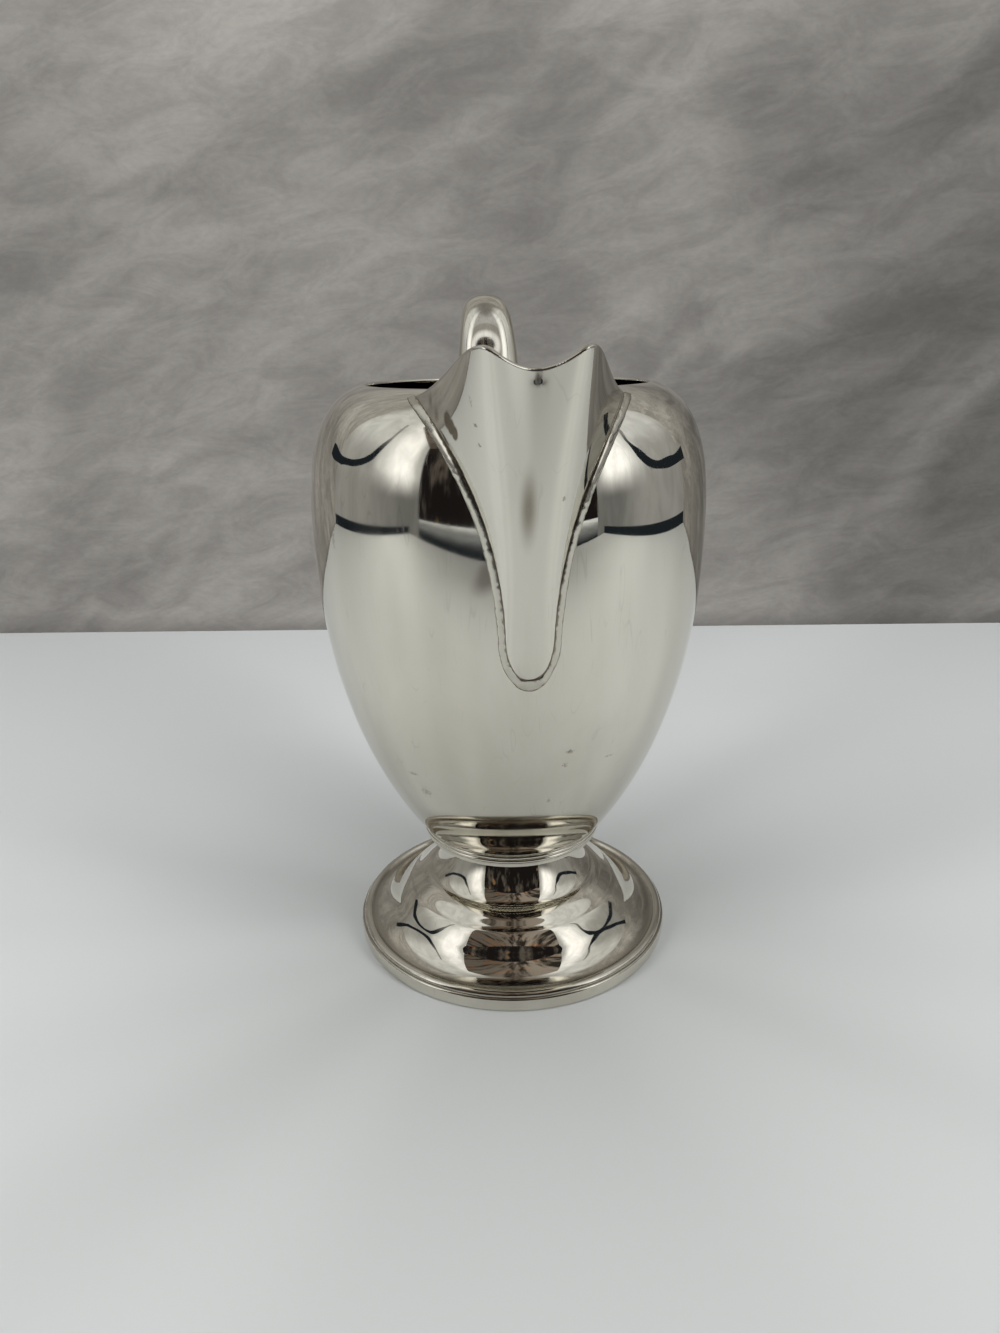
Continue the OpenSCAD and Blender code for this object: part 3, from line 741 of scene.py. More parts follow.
def effect(tree, name, place, **values):
    """Places an effect in a material with its own values, and gives its outputs."""
    node = add(tree, "ShaderNodeGroup", node_tree=effect_group(name))
    feed_all(tree, node, Vector=place, **values)
    return node.outputs


def in_metres(rows):
    """Marks from rows of x, y, z and three sizes in millimetres, each row with its strength last."""
    return [{"Centre": scaled(row[:3], MM), "Size": scaled(row[3:6], MM), "Amount": row[6]} for row in rows]


def silver_plate(name, base, look, creases=(), marks=(), soft_patches=(), rings=0.3, dull=0.0, lumpy=0.0,
                 painted_shade_edges=False):
    """Polished plate: a mirror with wiped haze, fine scratches, darkening in its creases that is patina with
    painted shade, and dark marks and soft patches.

    creases has rows of a height, a reach and a strength, and marks and soft_patches are as in_metres
    reads them. painted_shade_edges paints shade along both edges of a solder bead, by its attribute
    "across".
    """
    material = bpy.data.materials.get(name)
    if material:
        return material
    material = bpy.data.materials.new(name)
    material.use_nodes = True
    tree = material.node_tree
    shader = tree.nodes["Principled BSDF"]
    shader.inputs["Metallic"].default_value = 1.0
    place = object_place(tree)
    haze = effect(tree, "Wiped haze", place)
    scratches, fine = (
        effect(tree, "Hairline scratches", place, Density=density, Width=width, Amount=amount)["Mask"]
        for density, width, amount in ((430.0, 0.012, look.wear), (1500.0, 0.02, look.wear * 0.6)))
    spots = [("Crease patina and shade", {"Height": height, "Reach": reach, "Amount": amount})
             for height, reach, amount in creases]
    spots += [("Ragged mark", row) for row in in_metres(marks)]
    spots += [("Soft dark patch", row) for row in in_metres(soft_patches)]
    # The mask of the brown-grey: patina with painted shade in creases, dark marks and patches, and painted
    # shade at a bead's edges.
    patina_and_shade_mask = 0.0
    for kind, values in spots:
        patina_and_shade_mask = calc(tree, "MAXIMUM", effect(tree, kind, place, **values)["Mask"], patina_and_shade_mask)
    # Painted shade in the corners along both edges of the solder bead.
    if painted_shade_edges:
        across = add(tree, "ShaderNodeAttribute", attribute_name="across").outputs["Fac"]
        ragged = cloud(tree, place, 900.0, detail=3.0, roughness=0.6)
        inside = calc(tree, "ADD", across, ramp(tree, ragged, 0.30, 0.70, 0.30, -0.35))
        patina_and_shade_mask = calc(tree, "MAXIMUM", ramp(tree, inside, 0.62, 0.30, 0.0, 0.72), patina_and_shade_mask)
    streaks = ramp(tree, cloud(tree, mapped(tree, place, (1.0, 1.0, 0.10)), 95.0), 0.35, 0.65)
    patchy = calc(tree, "MULTIPLY_ADD", streaks, 0.22, times(tree, haze["Mask"], 0.22))
    clean = colour_mix(tree, patchy, base, tuple(a * b for a, b in zip(base, (0.72, 0.70, 0.65))))
    lined = colour_mix(tree, times(tree, scratches, 0.6), clean, (0.30, 0.29, 0.26))
    feed(tree, shader.inputs["Base Color"], colour_mix(tree, patina_and_shade_mask, lined, look.patina_and_shade))
    rough = look.polish + dull
    for mask, amount in ((haze["Mask"], look.haze), (haze["Fine"], 0.008), (scratches, 0.16), (fine, 0.08)):
        rough = calc(tree, "MULTIPLY_ADD", mask, amount, rough)
    feed(tree, shader.inputs["Roughness"], calc(tree, "MULTIPLY_ADD", patina_and_shade_mask, 0.3, rough, clamp=True))
    normal = bumped(tree, effect(tree, "Burnished waves", place, Rings=rings)["Height"], 0.006 * MM)
    normal = bumped(tree, calc(tree, "ADD", scratches, fine), 0.002 * MM, normal, invert=True)
    if lumpy:
        grains = cloud(tree, place, 1400.0, detail=4.0, roughness=0.6)
        normal = bumped(tree, grains, lumpy, normal)
    feed(tree, shader.inputs["Normal"], normal)
    return material


def solder_plate(look):
    """The finish of the plain solder beads."""
    return silver_plate("Solder plate", look.solder, look, dull=0.12, lumpy=SOLDER_GRAIN)


def arc(x, z, r, degrees):
    """Points round a centre, one for each angle."""
    return [(x + r * math.cos(math.radians(a)), z + r * math.sin(math.radians(a))) for a in degrees]


# Operators

class JUG_OT_foot(bpy.types.Operator):
    """Spin the standing ring, the domed foot, the beaded collar and the fillet in the neck"""
    bl_idname = "jug.foot"
    bl_label = "Foot"

    def execute(self, context):
        s = context.scene.jug_sizes
        look = context.scene.jug_finish
        flank_z = s.flange_h + s.flank_h
        bulge_z = flank_z + s.bulge_h
        crease_z = bulge_z + s.crease_h
        # The creases where the parts meet and where the foot's sheet turns are darkened as patina with
        # painted shade.
        creases = [(s.flange_h, 0.5 * MM, 0.5), (bulge_z, 0.2 * MM, 0.10), (crease_z, 0.25 * MM, 0.15),
                   (s.foot_h - 0.2 * MM, 0.5 * MM, 0.3), (s.foot_h + s.collar_h, 0.25 * MM, 0.4),
                   (s.base_ring_h, 0.25 * MM, 0.5)]
        plate = silver_plate("Foot plate", look.foot_silver, look, creases, rings=0.5)
        ring = turned("standing_ring", self.ring_outline(s))
        foot = turned("spun_foot", self.foot_outline(s, flank_z, bulge_z, crease_z))
        collar = turned("beaded_collar", self.collar_outline(s))
        fillet = turned("neck_fillet", self.fillet_outline(s), 96)
        for piece in (ring, foot, collar, fillet):
            smooth(piece, 40)
        hand_over(ring, plate, "silver_foot", "base_ring")
        hand_over(foot, plate, "silver_foot", "foot")
        hand_over(collar, plate, "silver_foot", "collar")
        hand_over(fillet, solder_plate(look), "solder", "foot_solder")
        return {"FINISHED"}

    @staticmethod
    def ring_outline(s):
        """The standing ring's section, rounded at its corners."""
        outside, inside, top, r = s.base_d / 2, s.base_d / 2 - s.base_ring_w, s.base_ring_h, 0.5 * MM
        corners = ((inside + r, r, 180), (outside - r, r, 270), (outside - r, top - r, 0),
                   (inside + r, top - r, 90))
        return [p for x, z, start in corners for p in arc(x, z, r, range(start, start + 91, 15))]

    @staticmethod
    def foot_outline(s, flank_z, bulge_z, crease_z):
        """The foot's sheet: its top line from the collar down and out, and its underside."""
        edge_r = s.base_d / 2 - s.edge_step
        flare_r, flare_z = s.collar_d / 2 - s.edge_step, s.foot_h - s.foot_wall
        wide, flat, high = s.edge_w, s.flange_h, s.flange_h + s.edge_rise
        waist, crease = (s.waist_d / 2, s.foot_h - s.waist_drop), (s.crease_d / 2, crease_z)
        bulge, flank, flange = (s.bulge_d / 2, bulge_z), (s.flank_d / 2, flank_z), (edge_r - wide, flat)
        crown = (edge_r - 0.5 * wide, high)
        parts = [
            [(flare_r, flare_z), (flare_r * 0.82, flare_z), (waist[0], flare_z - s.edge_rise), waist],
            slope_curve(waist, 90, 0.16, crease, 26, 0.33),
            slope_curve(crease, 3, 0.33, bulge, 27, 0.33),
            slope_curve(bulge, 28, 0.19, flank, 53, 0.19),
            slope_curve(flank, 53, 0.33, flange, 9, 0.33),
            [flange, (edge_r - 0.75 * wide, flat), (edge_r - 0.75 * wide, high), crown],
            [crown, (edge_r - 0.25 * wide, high), (edge_r, high - 0.25 * s.foot_wall),
             (edge_r, high - s.foot_wall)]]
        top = [place for part in parts for place in run_of(part, 22)] + [parts[-1][-1]]
        clear = 0.97 * s.foot_wall
        under = [p for p in beside(top, -s.foot_wall) if min(math.dist(p, q) for q in top) > clear]
        return top + under[::-1]

    @staticmethod
    def collar_outline(s):
        """The collar's section with its two beads."""
        bore, groove, bead = s.collar_bore_d / 2, s.collar_d / 2 - s.collar_groove, s.collar_h / 4
        top = s.foot_h + s.collar_h
        outline = [(bore, s.foot_h), (groove, s.foot_h)]
        for low in (s.foot_h, s.foot_h + 2 * bead):
            outline += arc(s.collar_d / 2 - bead, low + bead, bead, range(-78, 79, 12))
        return outline + [(groove, top), (bore, top)]

    @staticmethod
    def fillet_outline(s):
        """The hollow fillet between the collar's hole and the bowl's underside."""
        bore, seat_z, size = s.collar_bore_d / 2, s.foot_h + s.collar_h, s.foot_bead
        return [(bore, seat_z)] + arc(bore - size, seat_z - size, size, range(90, -1, -10))


class JUG_OT_bowl(bpy.types.Operator):
    """Spin the bowl and cut the opening behind the spout"""
    bl_idname = "jug.bowl"
    bl_label = "Bowl"

    MARKS = (
        (32.47, 7.56, 54.71, 0.8, 1.0, 0.5, 0.75),
        (31.69, 6.91, 51.73, 0.5, 0.5, 0.7, 0.60),
        (23.02, -18.15, 43.36, 1.2, 1.2, 1.3, 0.45),
        (23.20, -20.39, 47.30, 1.3, 1.5, 0.4, 0.45),
        (19.76, -32.32, 91.34, 0.6, 0.6, 2.0, 0.35),
        (28.99, 4.33, 43.31, 0.4, 0.4, 0.9, 0.45),
        (28.35, 15.70, 51.64, 1.0, 1.6, 0.3, 0.40),
    )
    OVERRUN = 5 * MM

    def execute(self, context):
        s = context.scene.jug_sizes
        look = context.scene.jug_finish
        shape = JugShape(s)
        bowl = turned("spun_bowl", self.outline(s, shape), 208)
        cutter = self.opening_cutter(s, shape)
        choose(bowl)
        cut = bowl.modifiers.new("Opening", "BOOLEAN")
        cut.operation = "DIFFERENCE"
        cut.solver = "EXACT"
        cut.object = cutter
        bpy.ops.object.modifier_apply(modifier=cut.name)
        bpy.data.objects.remove(cutter)
        smooth(bowl, 35)
        # The crease where the bowl sits on the collar, darkened as patina with painted shade.
        creases = [(shape.seat_z, 0.6 * MM, 0.5)]
        plate = silver_plate("Bowl plate", look.silver, look, creases, self.MARKS)
        hand_over(bowl, plate, "silver_bowl", "bowl")
        return {"FINISHED"}

    @staticmethod
    def outline(s, shape):
        """The bowl's sheet from the middle of its underside, over the rim, to the middle of its floor."""
        outside = shape.bowl_outline
        floor_z = shape.seat_z + s.floor_wall
        inside = [p for p in beside(outside, s.bowl_wall) if p[1] > floor_z + s.bowl_wall]
        (r0, z0), (r1, z1) = outside[-2:]
        way = Vector((r1 - r0, z1 - z0)).normalized()
        left = Vector((-way.y, way.x))
        rim = []
        for a in range(15, 166, 15):
            turn = math.radians(a)
            over = left * (1 - math.cos(turn)) + way * math.sin(turn)
            rim.append(tuple(Vector(outside[-1]) + s.bowl_wall / 2 * over))
        foot_r, foot_z = inside[0]
        pulls = [(foot_r, foot_z), (foot_r - 0.2 * MM, mixed(foot_z, floor_z, 0.7)),
                 (foot_r - s.bowl_wall, floor_z), (foot_r - 2 * s.bowl_wall, floor_z)]
        corner = [cubic(pulls, i / 8) for i in range(1, 9)]
        floor = [(corner[-1][0] * k / 8, floor_z) for k in range(7, -1, -1)]
        under = [(outside[0][0] * k / 8, shape.seat_z) for k in range(8)]
        return under + outside + rim + inside[::-1] + corner + floor

    def opening_cutter(self, s, shape):
        """A block with the outline of the opening, pushed out through the front of the bowl."""
        steps = 60
        land = s.spout_wall + s.spout_land
        edge = []
        for i in range(1, steps + 1):
            h = shape.seam_h * (i / steps) ** 1.4
            half = shape.seam_y(h) - land
            if half > s.spout_wall:
                edge.append((half, shape.tip_z + h + land))
        edge.append((edge[-1][0], shape.rim_z + self.OVERRUN))
        ring = edge + [(-y, z) for y, z in reversed(edge)]
        clear_choice()
        bpy.ops.mesh.primitive_circle_add(vertices=len(ring), radius=MM, fill_type="NGON")
        cutter = named("opening_cutter")
        for vertex, (y, z) in zip(cutter.data.vertices, ring):
            vertex.co = (self.OVERRUN, y, z)
        edit_all()
        bpy.ops.mesh.extrude_region_move(TRANSFORM_OT_translate={"value": (shape.belly_r, 0, 0)})
        leave_edit()
        return cutter


class JUG_OT_spout(bpy.types.Operator):
    """Press the V-shaped spout with its dipped lip, and lay the solder along its edge"""
    bl_idname = "jug.spout"
    bl_label = "Spout"

    ROWS = 190
    ROW_POWER = 1.5
    HALF_COLUMNS = 56
    MARKS = (
        (42.11, -8.92, 115.48, 0.4, 0.5, 0.9, 0.60),
        (41.83, -8.26, 111.91, 0.4, 1.2, 0.4, 0.75),
        (41.48, -7.81, 109.11, 0.4, 1.4, 0.4, 0.75),
        (42.07, 4.60, 101.05, 0.4, 0.4, 0.4, 0.60),
    )
    # Soft dark patches on the spout. The second is a painted reflection: the long soft dark streak down the
    # middle of the face, where the face mirrors a shadow on the table.
    SOFT_PATCHES = (
        (46.00, 0.24, 118.50, 0.8, 0.42, 1.1, 0.9),
        (42.49, -0.74, 99.50, 2.2, 1.3, 6.2, 0.75),
        (35.25, -12.28, 112.25, 1.1, 0.6, 1.2, 3.0),
        (35.90, -11.83, 111.30, 1.1, 0.6, 1.1, 3.0),
        (36.55, -11.32, 110.40, 1.0, 0.5, 1.0, 3.0),
        (30.79, -14.80, 115.00, 0.9, 0.4, 1.2, 0.6),
        (32.50, -13.95, 112.90, 0.9, 0.4, 1.2, 0.6),
    )
    # Blobs of the solder at the spout's lower end, each with its y, its z and its reach
    BLOBS = ((-0.0040, 0.0728, 0.0008), (-0.0014, 0.0698, 0.0007), (0.0021, 0.0701, 0.0008))
    # The dent under the lip: its depth, its middle and reach from edge to edge, and its lower end
    DENT_DEPTH, DENT_MIDDLE, DENT_REACH, DENT_FROM = 0.16 * MM, 0.008, 0.027, (0.955, 0.975)
    # The lip: how much thicker the sheet gets, from where to where, and how its edges are rounded
    LIP_GAIN, LIP_FROM, LIP_ROUND = 0.6, (0.94, 0.99), 0.34 * MM

    def execute(self, context):
        s = context.scene.jug_sizes
        look = context.scene.jug_finish
        shape = JugShape(s)
        # Rows from the spout's lower end to its lip, closest together at that end
        steps = [max((i / self.ROWS) ** self.ROW_POWER, shape.START) for i in range(self.ROWS + 1)]
        spout = self.press(s, shape, steps)
        plate = silver_plate("Spout plate", look.silver, look, (), self.MARKS, self.SOFT_PATCHES, rings=0.0)
        hand_over(spout, plate, "silver_bowl", "spout")
        bead = self.solder(s, shape, steps)
        # The bead's finish paints shade along both its edges, in the corners against the bowl and the spout.
        joint = silver_plate("Spout solder plate", look.solder, look, dull=0.10, lumpy=SOLDER_GRAIN,
                             painted_shade_edges=True)
        hand_over(bead, joint, "solder", "spout_solder")
        return {"FINISHED"}

    def press(self, s, shape, steps):
        """The spout's sheet, with the small dent under its lip and a rounded lip edge."""
        columns = 2 * self.HALF_COLUMNS + 1
        rows = []
        for t in steps:
            row = []
            for k in range(columns):
                u = k / self.HALF_COLUMNS - 1
                aside = (u - self.DENT_MIDDLE) / self.DENT_REACH
                dent = self.DENT_DEPTH * eased(part_way(t, *self.DENT_FROM)) * math.exp(-aside ** 2)
                row.append(shape.spout_point(t, u) - Vector((dent, 0, 0)))
            rows.append(row)
        piece = sheet_from("pressed_spout", rows)
        count = len(piece.data.vertices)
        give_wall(piece, s.spout_wall)
        reach = 1.2 * s.spout_wall
        for vertex in piece.data.vertices[count:]:
            place, outside = vertex.co, piece.data.vertices[vertex.index - count].co
            off = place - outside
            if off.length > reach:
                vertex.co = outside + off * (reach / off.length)
            near_lip = eased(part_way(steps[(vertex.index - count) // columns], *self.LIP_FROM))
            vertex.co += (vertex.co - outside) * self.LIP_GAIN * near_lip
            if abs(place.y) > abs(outside.y):
                place.y = outside.y
            if place.z < shape.rim_z:
                place.x = max(place.x, shape.bowl_x_at(place.y, place.z) + s.seat_gap)
        self.round_lip(piece, count, columns)
        smooth(piece, 50)
        return piece

    def round_lip(self, piece, count, columns):
        """Rounds both edges of the sheet along the lip."""
        lip = set(range(count - columns, count)) | set(range(2 * count - columns, 2 * count))
        for edge in piece.data.edges:
            a, b = edge.vertices
            edge.select = a in lip and b in lip and (a < count) == (b < count)
        for polygon in piece.data.polygons:
            polygon.select = False
        for vertex in piece.data.vertices:
            vertex.select = vertex.index in lip
        bpy.ops.object.mode_set(mode="EDIT")
        bpy.ops.mesh.select_mode(type="EDGE")
        bpy.ops.mesh.bevel(offset=self.LIP_ROUND, segments=6, affect="EDGES", clamp_overlap=False)
        bpy.ops.object.mode_set(mode="OBJECT")

    def solder(self, s, shape, steps):
        """The uneven bead in the corner between the bowl and the spout's edge."""
        stations = [(t, -1) for t in reversed(steps)] + [(t, 1) for t in steps]
        tiny = 0.02 * MM
        turns = [math.pi * i / 14 for i in range(15)]
        rings = []
        for t, side in stations:
            h = t * shape.seam_h
            run = Vector((shape.seam_y(h + tiny) - shape.seam_y(h - tiny), 2 * tiny)).normalized()
            out = Vector((0.0, side * run.y, -run.x))
            foot = shape.spout_point(t, side) + out * s.seat_gap
            swell = 0.72 + 0.14 * lumps.noise(foot * 420) + 0.08 * lumps.noise(foot * 1500)
            size = s.spout_bead * swell + mixed(s.seam_lap, s.tip_lap, max(-out.z, 0.0) ** 3)
            far = foot + out * size
            far.x = shape.bowl_x_at(far.y, far.z) + s.seat_gap
            inner = foot - out * size * 0.55
            near = shape.spout_over(inner.y, inner.z) + Vector((s.seat_gap, 0, 0))
            base = near - far
            rise = Vector((1, 0, 0)) - base * (base.x / base.length_squared)
            rise = rise.normalized() * s.spout_bead * (0.5 * swell + 0.1)
            for y, z, reach in self.BLOBS:
                rise *= 1.0 + 0.5 * math.exp(-((foot.y - y) ** 2 + (foot.z - z) ** 2) / reach ** 2)
            rings.append([foot] + [far + base * (1 - math.cos(a)) / 2 + rise * math.sin(a) for a in turns])
        across = [0.0] + [math.sin(a) ** (2.4 if a < math.pi / 2 else 1.0) for a in turns]
        bead = closed_tube("spout_solder_bead", rings, across=across)
        smooth(bead, 60)
        return bead


class JUG_OT_handle(bpy.types.Operator):
    """Press the handle's two hollow halves and lay the solder round its ends"""
    bl_idname = "jug.handle"
    bl_label = "Handle"

    STEPS = 46
    HALF_STEPS = 30
    BEAD_STEPS = 120

    def execute(self, context):
        s = context.scene.jug_sizes
        look = context.scene.jug_finish
        shape = JugShape(s)
        plate = silver_plate("Handle plate", look.silver, look, rings=0.0)
        for name, side, node in (("handle_half_left", 1, "handle_left"),
                                 ("handle_half_right", -1, "handle_right")):
            hand_over(self.half(s, shape, name, side), plate, "silver_handle", node)
        for name, node, part in (("upper_joint_bead", "upper_joint_solder", 0),
                                 ("lower_joint_bead", "lower_joint_solder", shape.CURVES)):
            hand_over(self.joint_bead(s, shape, name, part), solder_plate(look), "solder", node)
        return {"FINISHED"}

    def half(self, s, shape, name, side):
        """One half of the hollow handle, thickened inwards."""
        turns = [math.pi * mixed(k / self.HALF_STEPS, eased(k / self.HALF_STEPS), 0.85)
                 for k in range(self.HALF_STEPS + 1)]
        rows = [[shape.handle_point(j / self.STEPS, turn, side) for turn in turns[::side]]
                for j in range(self.STEPS * shape.CURVES + 1)]
        piece = sheet_from(name, rows)
        give_wall(piece, s.handle_wall)
        smooth(piece, 50)
        return piece

    def joint_bead(self, s, shape, name, part):
        """The bead round one end of the handle, a little uneven in size."""
        curve = shape.handle_curves[0 if part == 0 else -1]
        end = 0.0 if part == 0 else 1.0
        z = cubic(curve, end)[1]
        way = Vector(cubic_way(curve, end)).normalized()
        lead = Vector((way.x, 0, way.y)) * (1 if part == 0 else -1)
        width, deep = shape.handle_w(part), shape.handle_t(part)
        rings = []
        for i in range(self.BEAD_STEPS):
            turn = math.tau * i / self.BEAD_STEPS
            lean = math.cos(turn)
            on = Vector((0, width / 2 * math.sin(turn), z - way.x * shape.dome_reach(deep, turn)))
            rise = -math.copysign(lean, way.x * lean) * abs(lean) / deep
            out = Vector((0, math.sin(turn) / width, rise)).normalized()
            foot = on + out * s.seat_gap
            size = s.handle_bead * (1.0 + 0.3 * lumps.noise(foot * 500))
            far = on + out * size
            foot.x = -shape.bowl_x_at(foot.y, foot.z) - s.seat_gap
            far.x = -shape.bowl_x_at(far.y, far.z) - s.seat_gap
            across, along = far - foot, lead * size
            rings.append([foot] + [foot + across * math.cos(a) + along * math.sin(a)
                                   for a in (math.radians(15 * k) for k in range(7))])
        rings.append(rings[0])
        bead = closed_tube(name, rings, ends=False)
        smooth(bead, 60)
        return bead


class JUG_OT_stage(bpy.types.Operator):
    """Set the white table, the grey tent round it, the soft light and the camera"""
    bl_idname = "jug.stage"
    bl_label = "Stage"

    ROOM_Y = -1.15
    LEDGE_X = (-1.6, 1.6)
    LEDGE_Z = -0.012
    SILL = 0.497
    RIBBON_HALF = 0.021

    def execute(self, context):
        self.stage = stage = context.scene.jug_stage
        self.left, self.right, self.top = -stage.left_x, stage.right_x, stage.tent_h
        self.back, self.front = stage.back_y, -stage.front_y
        self.light_world(context.scene)
        self.table()
        self.tent()
        self.seams()
        self.lamps()
        self.camera(context.scene)
        return {"FINISHED"}

    def place(self, x, y, z):
        """A place that is x to the right of the camera's line, y away from the camera and z up."""
        turn = self.stage.turn
        return Vector((x * math.sin(turn) - y * math.cos(turn), x * math.cos(turn) + y * math.sin(turn), z))

    @staticmethod
    def hang(piece, material, seen_by_light=False):
        """Faces a cloth or board to the jug, gives it its material, and sets whether diffuse and shadow rays
        see it.
        """
        middle = piece.data.polygons[len(piece.data.polygons) // 2]
        if middle.normal.dot(Vector((0, 0, 0.1)) - middle.center) < 0:
            edit_all()
            bpy.ops.mesh.flip_normals()
            leave_edit(outwards=False)
        piece.data.materials.append(material)
        piece.visible_diffuse = seen_by_light
        piece.visible_shadow = seen_by_light

    def panel(self, name, material, corners, seen_by_light=False):
        """A flat cloth or board through four corners, which are given on the way round it."""
        clear_choice()
        bpy.ops.mesh.primitive_plane_add(size=1)
        board = named(name)
        for vertex, corner in zip(board.data.vertices, (corners[0], corners[1], corners[3], corners[2])):
            vertex.co = self.place(*corner)
        board.data.update()
        self.hang(board, material, seen_by_light)

    def board(self, name, material, x, y, z, seen_by_light=False):
        """A panel for which two of x, y and z are ranges, and the third is one value."""
        lows, highs = zip(*(value if isinstance(value, tuple) else (value, value) for value in (x, y, z)))
        wide, tall = (k for k in range(3) if lows[k] != highs[k])
        corners = []
        for far, up in ((False, False), (True, False), (True, True), (False, True)):
            corner = list(lows)
            corner[wide] = highs[wide] if far else lows[wide]
            corner[tall] = highs[tall] if up else lows[tall]
            corners.append(corner)
        self.panel(name, material, corners, seen_by_light)

    @staticmethod
    def glow(name, tone, folds=0.0):
        """A cloth that glows with its colour as written, as painted light that no lamp gives, and shows
        nothing from behind; folds adds painted light and shade of soft folds.
        """
        material = bpy.data.materials.new(name)
        material.use_nodes = True
        tree = material.node_tree
        tree.nodes.clear()
        tone = tone(tree) if callable(tone) else (*tone, 1.0)
        if folds:
            drape = mapped(tree, object_place(tree), (1.0, 1.0, 0.5), (0.5, 0.2, 0.3))
            soft = cloud(tree, drape, 9.0, detail=4.0, roughness=0.55, distortion=0.8)
            tone = vector_calc(tree, "SCALE", tone, ramp(tree, soft, 0.3, 0.7, 1 - folds, 1 + folds))
        shine = add(tree, "ShaderNodeEmission")
        feed(tree, shine.inputs["Color"], tone)
        choice = add(tree, "ShaderNodeMixShader")
        feed(tree, choice.inputs[0], add(tree, "ShaderNodeNewGeometry").outputs["Backfacing"])
        feed(tree, choice.inputs[1], shine.outputs[0])
        feed(tree, choice.inputs[2], add(tree, "ShaderNodeBsdfTransparent").outputs[0])
        feed(tree, add(tree, "ShaderNodeOutputMaterial").inputs["Surface"], choice.outputs[0])
        return material

    def lit_cloth(self, tree):
        """The side and top cloths' colour: brightest beside the two upright lights, dim low down."""
        stage = self.stage
        _, x, y, z = object_parts(tree)
        aside = calc(tree, "ABSOLUTE", calc(tree, "ADD", calc(tree, "ARCTAN2", y, x), stage.turn))
        squares = calc(tree, "ADD", calc(tree, "POWER", x, 2.0), calc(tree, "POWER", y, 2.0))
        near = calc(tree, "SQRT", squares)
        high = calc(tree, "MAXIMUM", ramp(tree, z, 0.26, 0.48), turn_ramp(tree, aside, 84, 75))
        # The lighter copies of the lining and the grey cloth, the glare beside the upright lights and the
        # shadow beside them are painted light and shade.
        upper = colour_mix(tree, high, scaled(stage.lining, 1.3), stage.side)
        upper = colour_mix(tree, turn_ramp(tree, aside, 102, 122), upper, scaled(stage.cloth, 1.35))
        strip = times(tree, turn_ramp(tree, aside, 50, 57), turn_ramp(tree, aside, 77, 64),
                      ramp(tree, near, 0.30, 0.58, 0.6, 1.0), ramp(tree, z, 0.52, 0.73, 1.0, 0.55))
        glare = vector_calc(tree, "SCALE", tuple(stage.bright), 1.4)
        upper = colour_mix(tree, strip, upper, glare)
        shadow = times(tree, turn_ramp(tree, aside, 54, 46), 0.55)
        upper = colour_mix(tree, shadow, upper, stage.lining)
        upper = colour_mix(tree, ramp(tree, near, 0.34, 0.10), upper, stage.cloth)
        low = colour_mix(tree, turn_ramp(tree, aside, 80, 58, 0.0, 0.4), stage.lining, stage.seam)
        return colour_mix(tree, ramp(tree, z, 0.12, 0.27), low, upper)

    def sloping_cloth(self, tree):
        """The cloth before the table: dark where it starts, bright where it catches the room's light."""
        x = object_parts(tree)[1]
        lift = calc(tree, "ADD", ramp(tree, x, 0.50, 0.72, 0.0, 0.26), ramp(tree, x, 0.74, 1.12, 0.0, 0.65))
        return colour_mix(tree, lift, self.stage.seam, (0.78, 0.80, 0.80))

    def crumpled_cloth(self, tree):
        """The back cloth: crumpled velvet, dimmer on the right and where it meets the table."""
        where, _, _, z = object_parts(tree)
        drape = mapped(tree, where, turn=(math.radians(-33), 0, 0))
        crumple = mapped(tree, where, turn=(math.radians(-12), 0, 0))
        big = cloud(tree, mapped(tree, drape, (1.0, 0.42, 1.25)), 13.0, 3.0, 0.55, 0.9)
        brushed = cloud(tree, mapped(tree, crumple, (1.0, 0.5, 1.3)), 62.0, 6.0, 0.68, 0.8)
        pile = cloud(tree, mapped(tree, where, (1.0, 0.8, 1.6)), 420.0)
        dim_place = self.place(0.200, self.back, 0.080)
        off = vector_calc(tree, "DISTANCE", mapped(tree, where, (1.0, 1.0, 0.75)), dim_place)
        light = times(tree, ramp(tree, big, 0.32, 0.68, 0.80, 1.20),
                      ramp(tree, brushed, 0.3, 0.7, 0.87, 1.13), ramp(tree, pile, 0.3, 0.7, 0.97, 1.03),
                      ramp(tree, z, -0.004, 0.010, 0.60, 1.0), ramp(tree, z, 0.20, 0.30, 1.0, 1.5),
                      ramp(tree, off, 0.18, 0.03, 1.0, 0.60))
        return vector_calc(tree, "SCALE", scaled(self.stage.cloth, 1.12), light)

    def valance_cloth(self, tree):
        """The cloth over the opening: a strip of painted light along its lower edge, and grey above, painted
        lighter than the grey cloth.
        """
        fall = ramp(tree, object_parts(tree)[3], 0.525, 0.60)
        return colour_mix(tree, fall, self.stage.bright, scaled(self.stage.cloth, 1.5))

    def hood_cloth(self, tree):
        """The cloth over the camera: dark, in upright folds, a little lighter on the right."""
        where, _, y, _ = object_parts(tree)
        fold = cloud(tree, mapped(tree, where, (0.12, 1.0, 0.12)), 17.0, detail=4.0, roughness=0.65)
        light = times(tree, ramp(tree, fold, 0.44, 0.60, 0.22, 2.4), ramp(tree, y, -0.16, 0.12, 0.5, 1.25))
        warm = ramp(tree, cloud(tree, where, 9.0), 0.54, 0.66)
        tone = colour_mix(tree, warm, self.stage.opening, (0.16, 0.095, 0.06))
        return vector_calc(tree, "SCALE", tone, light)

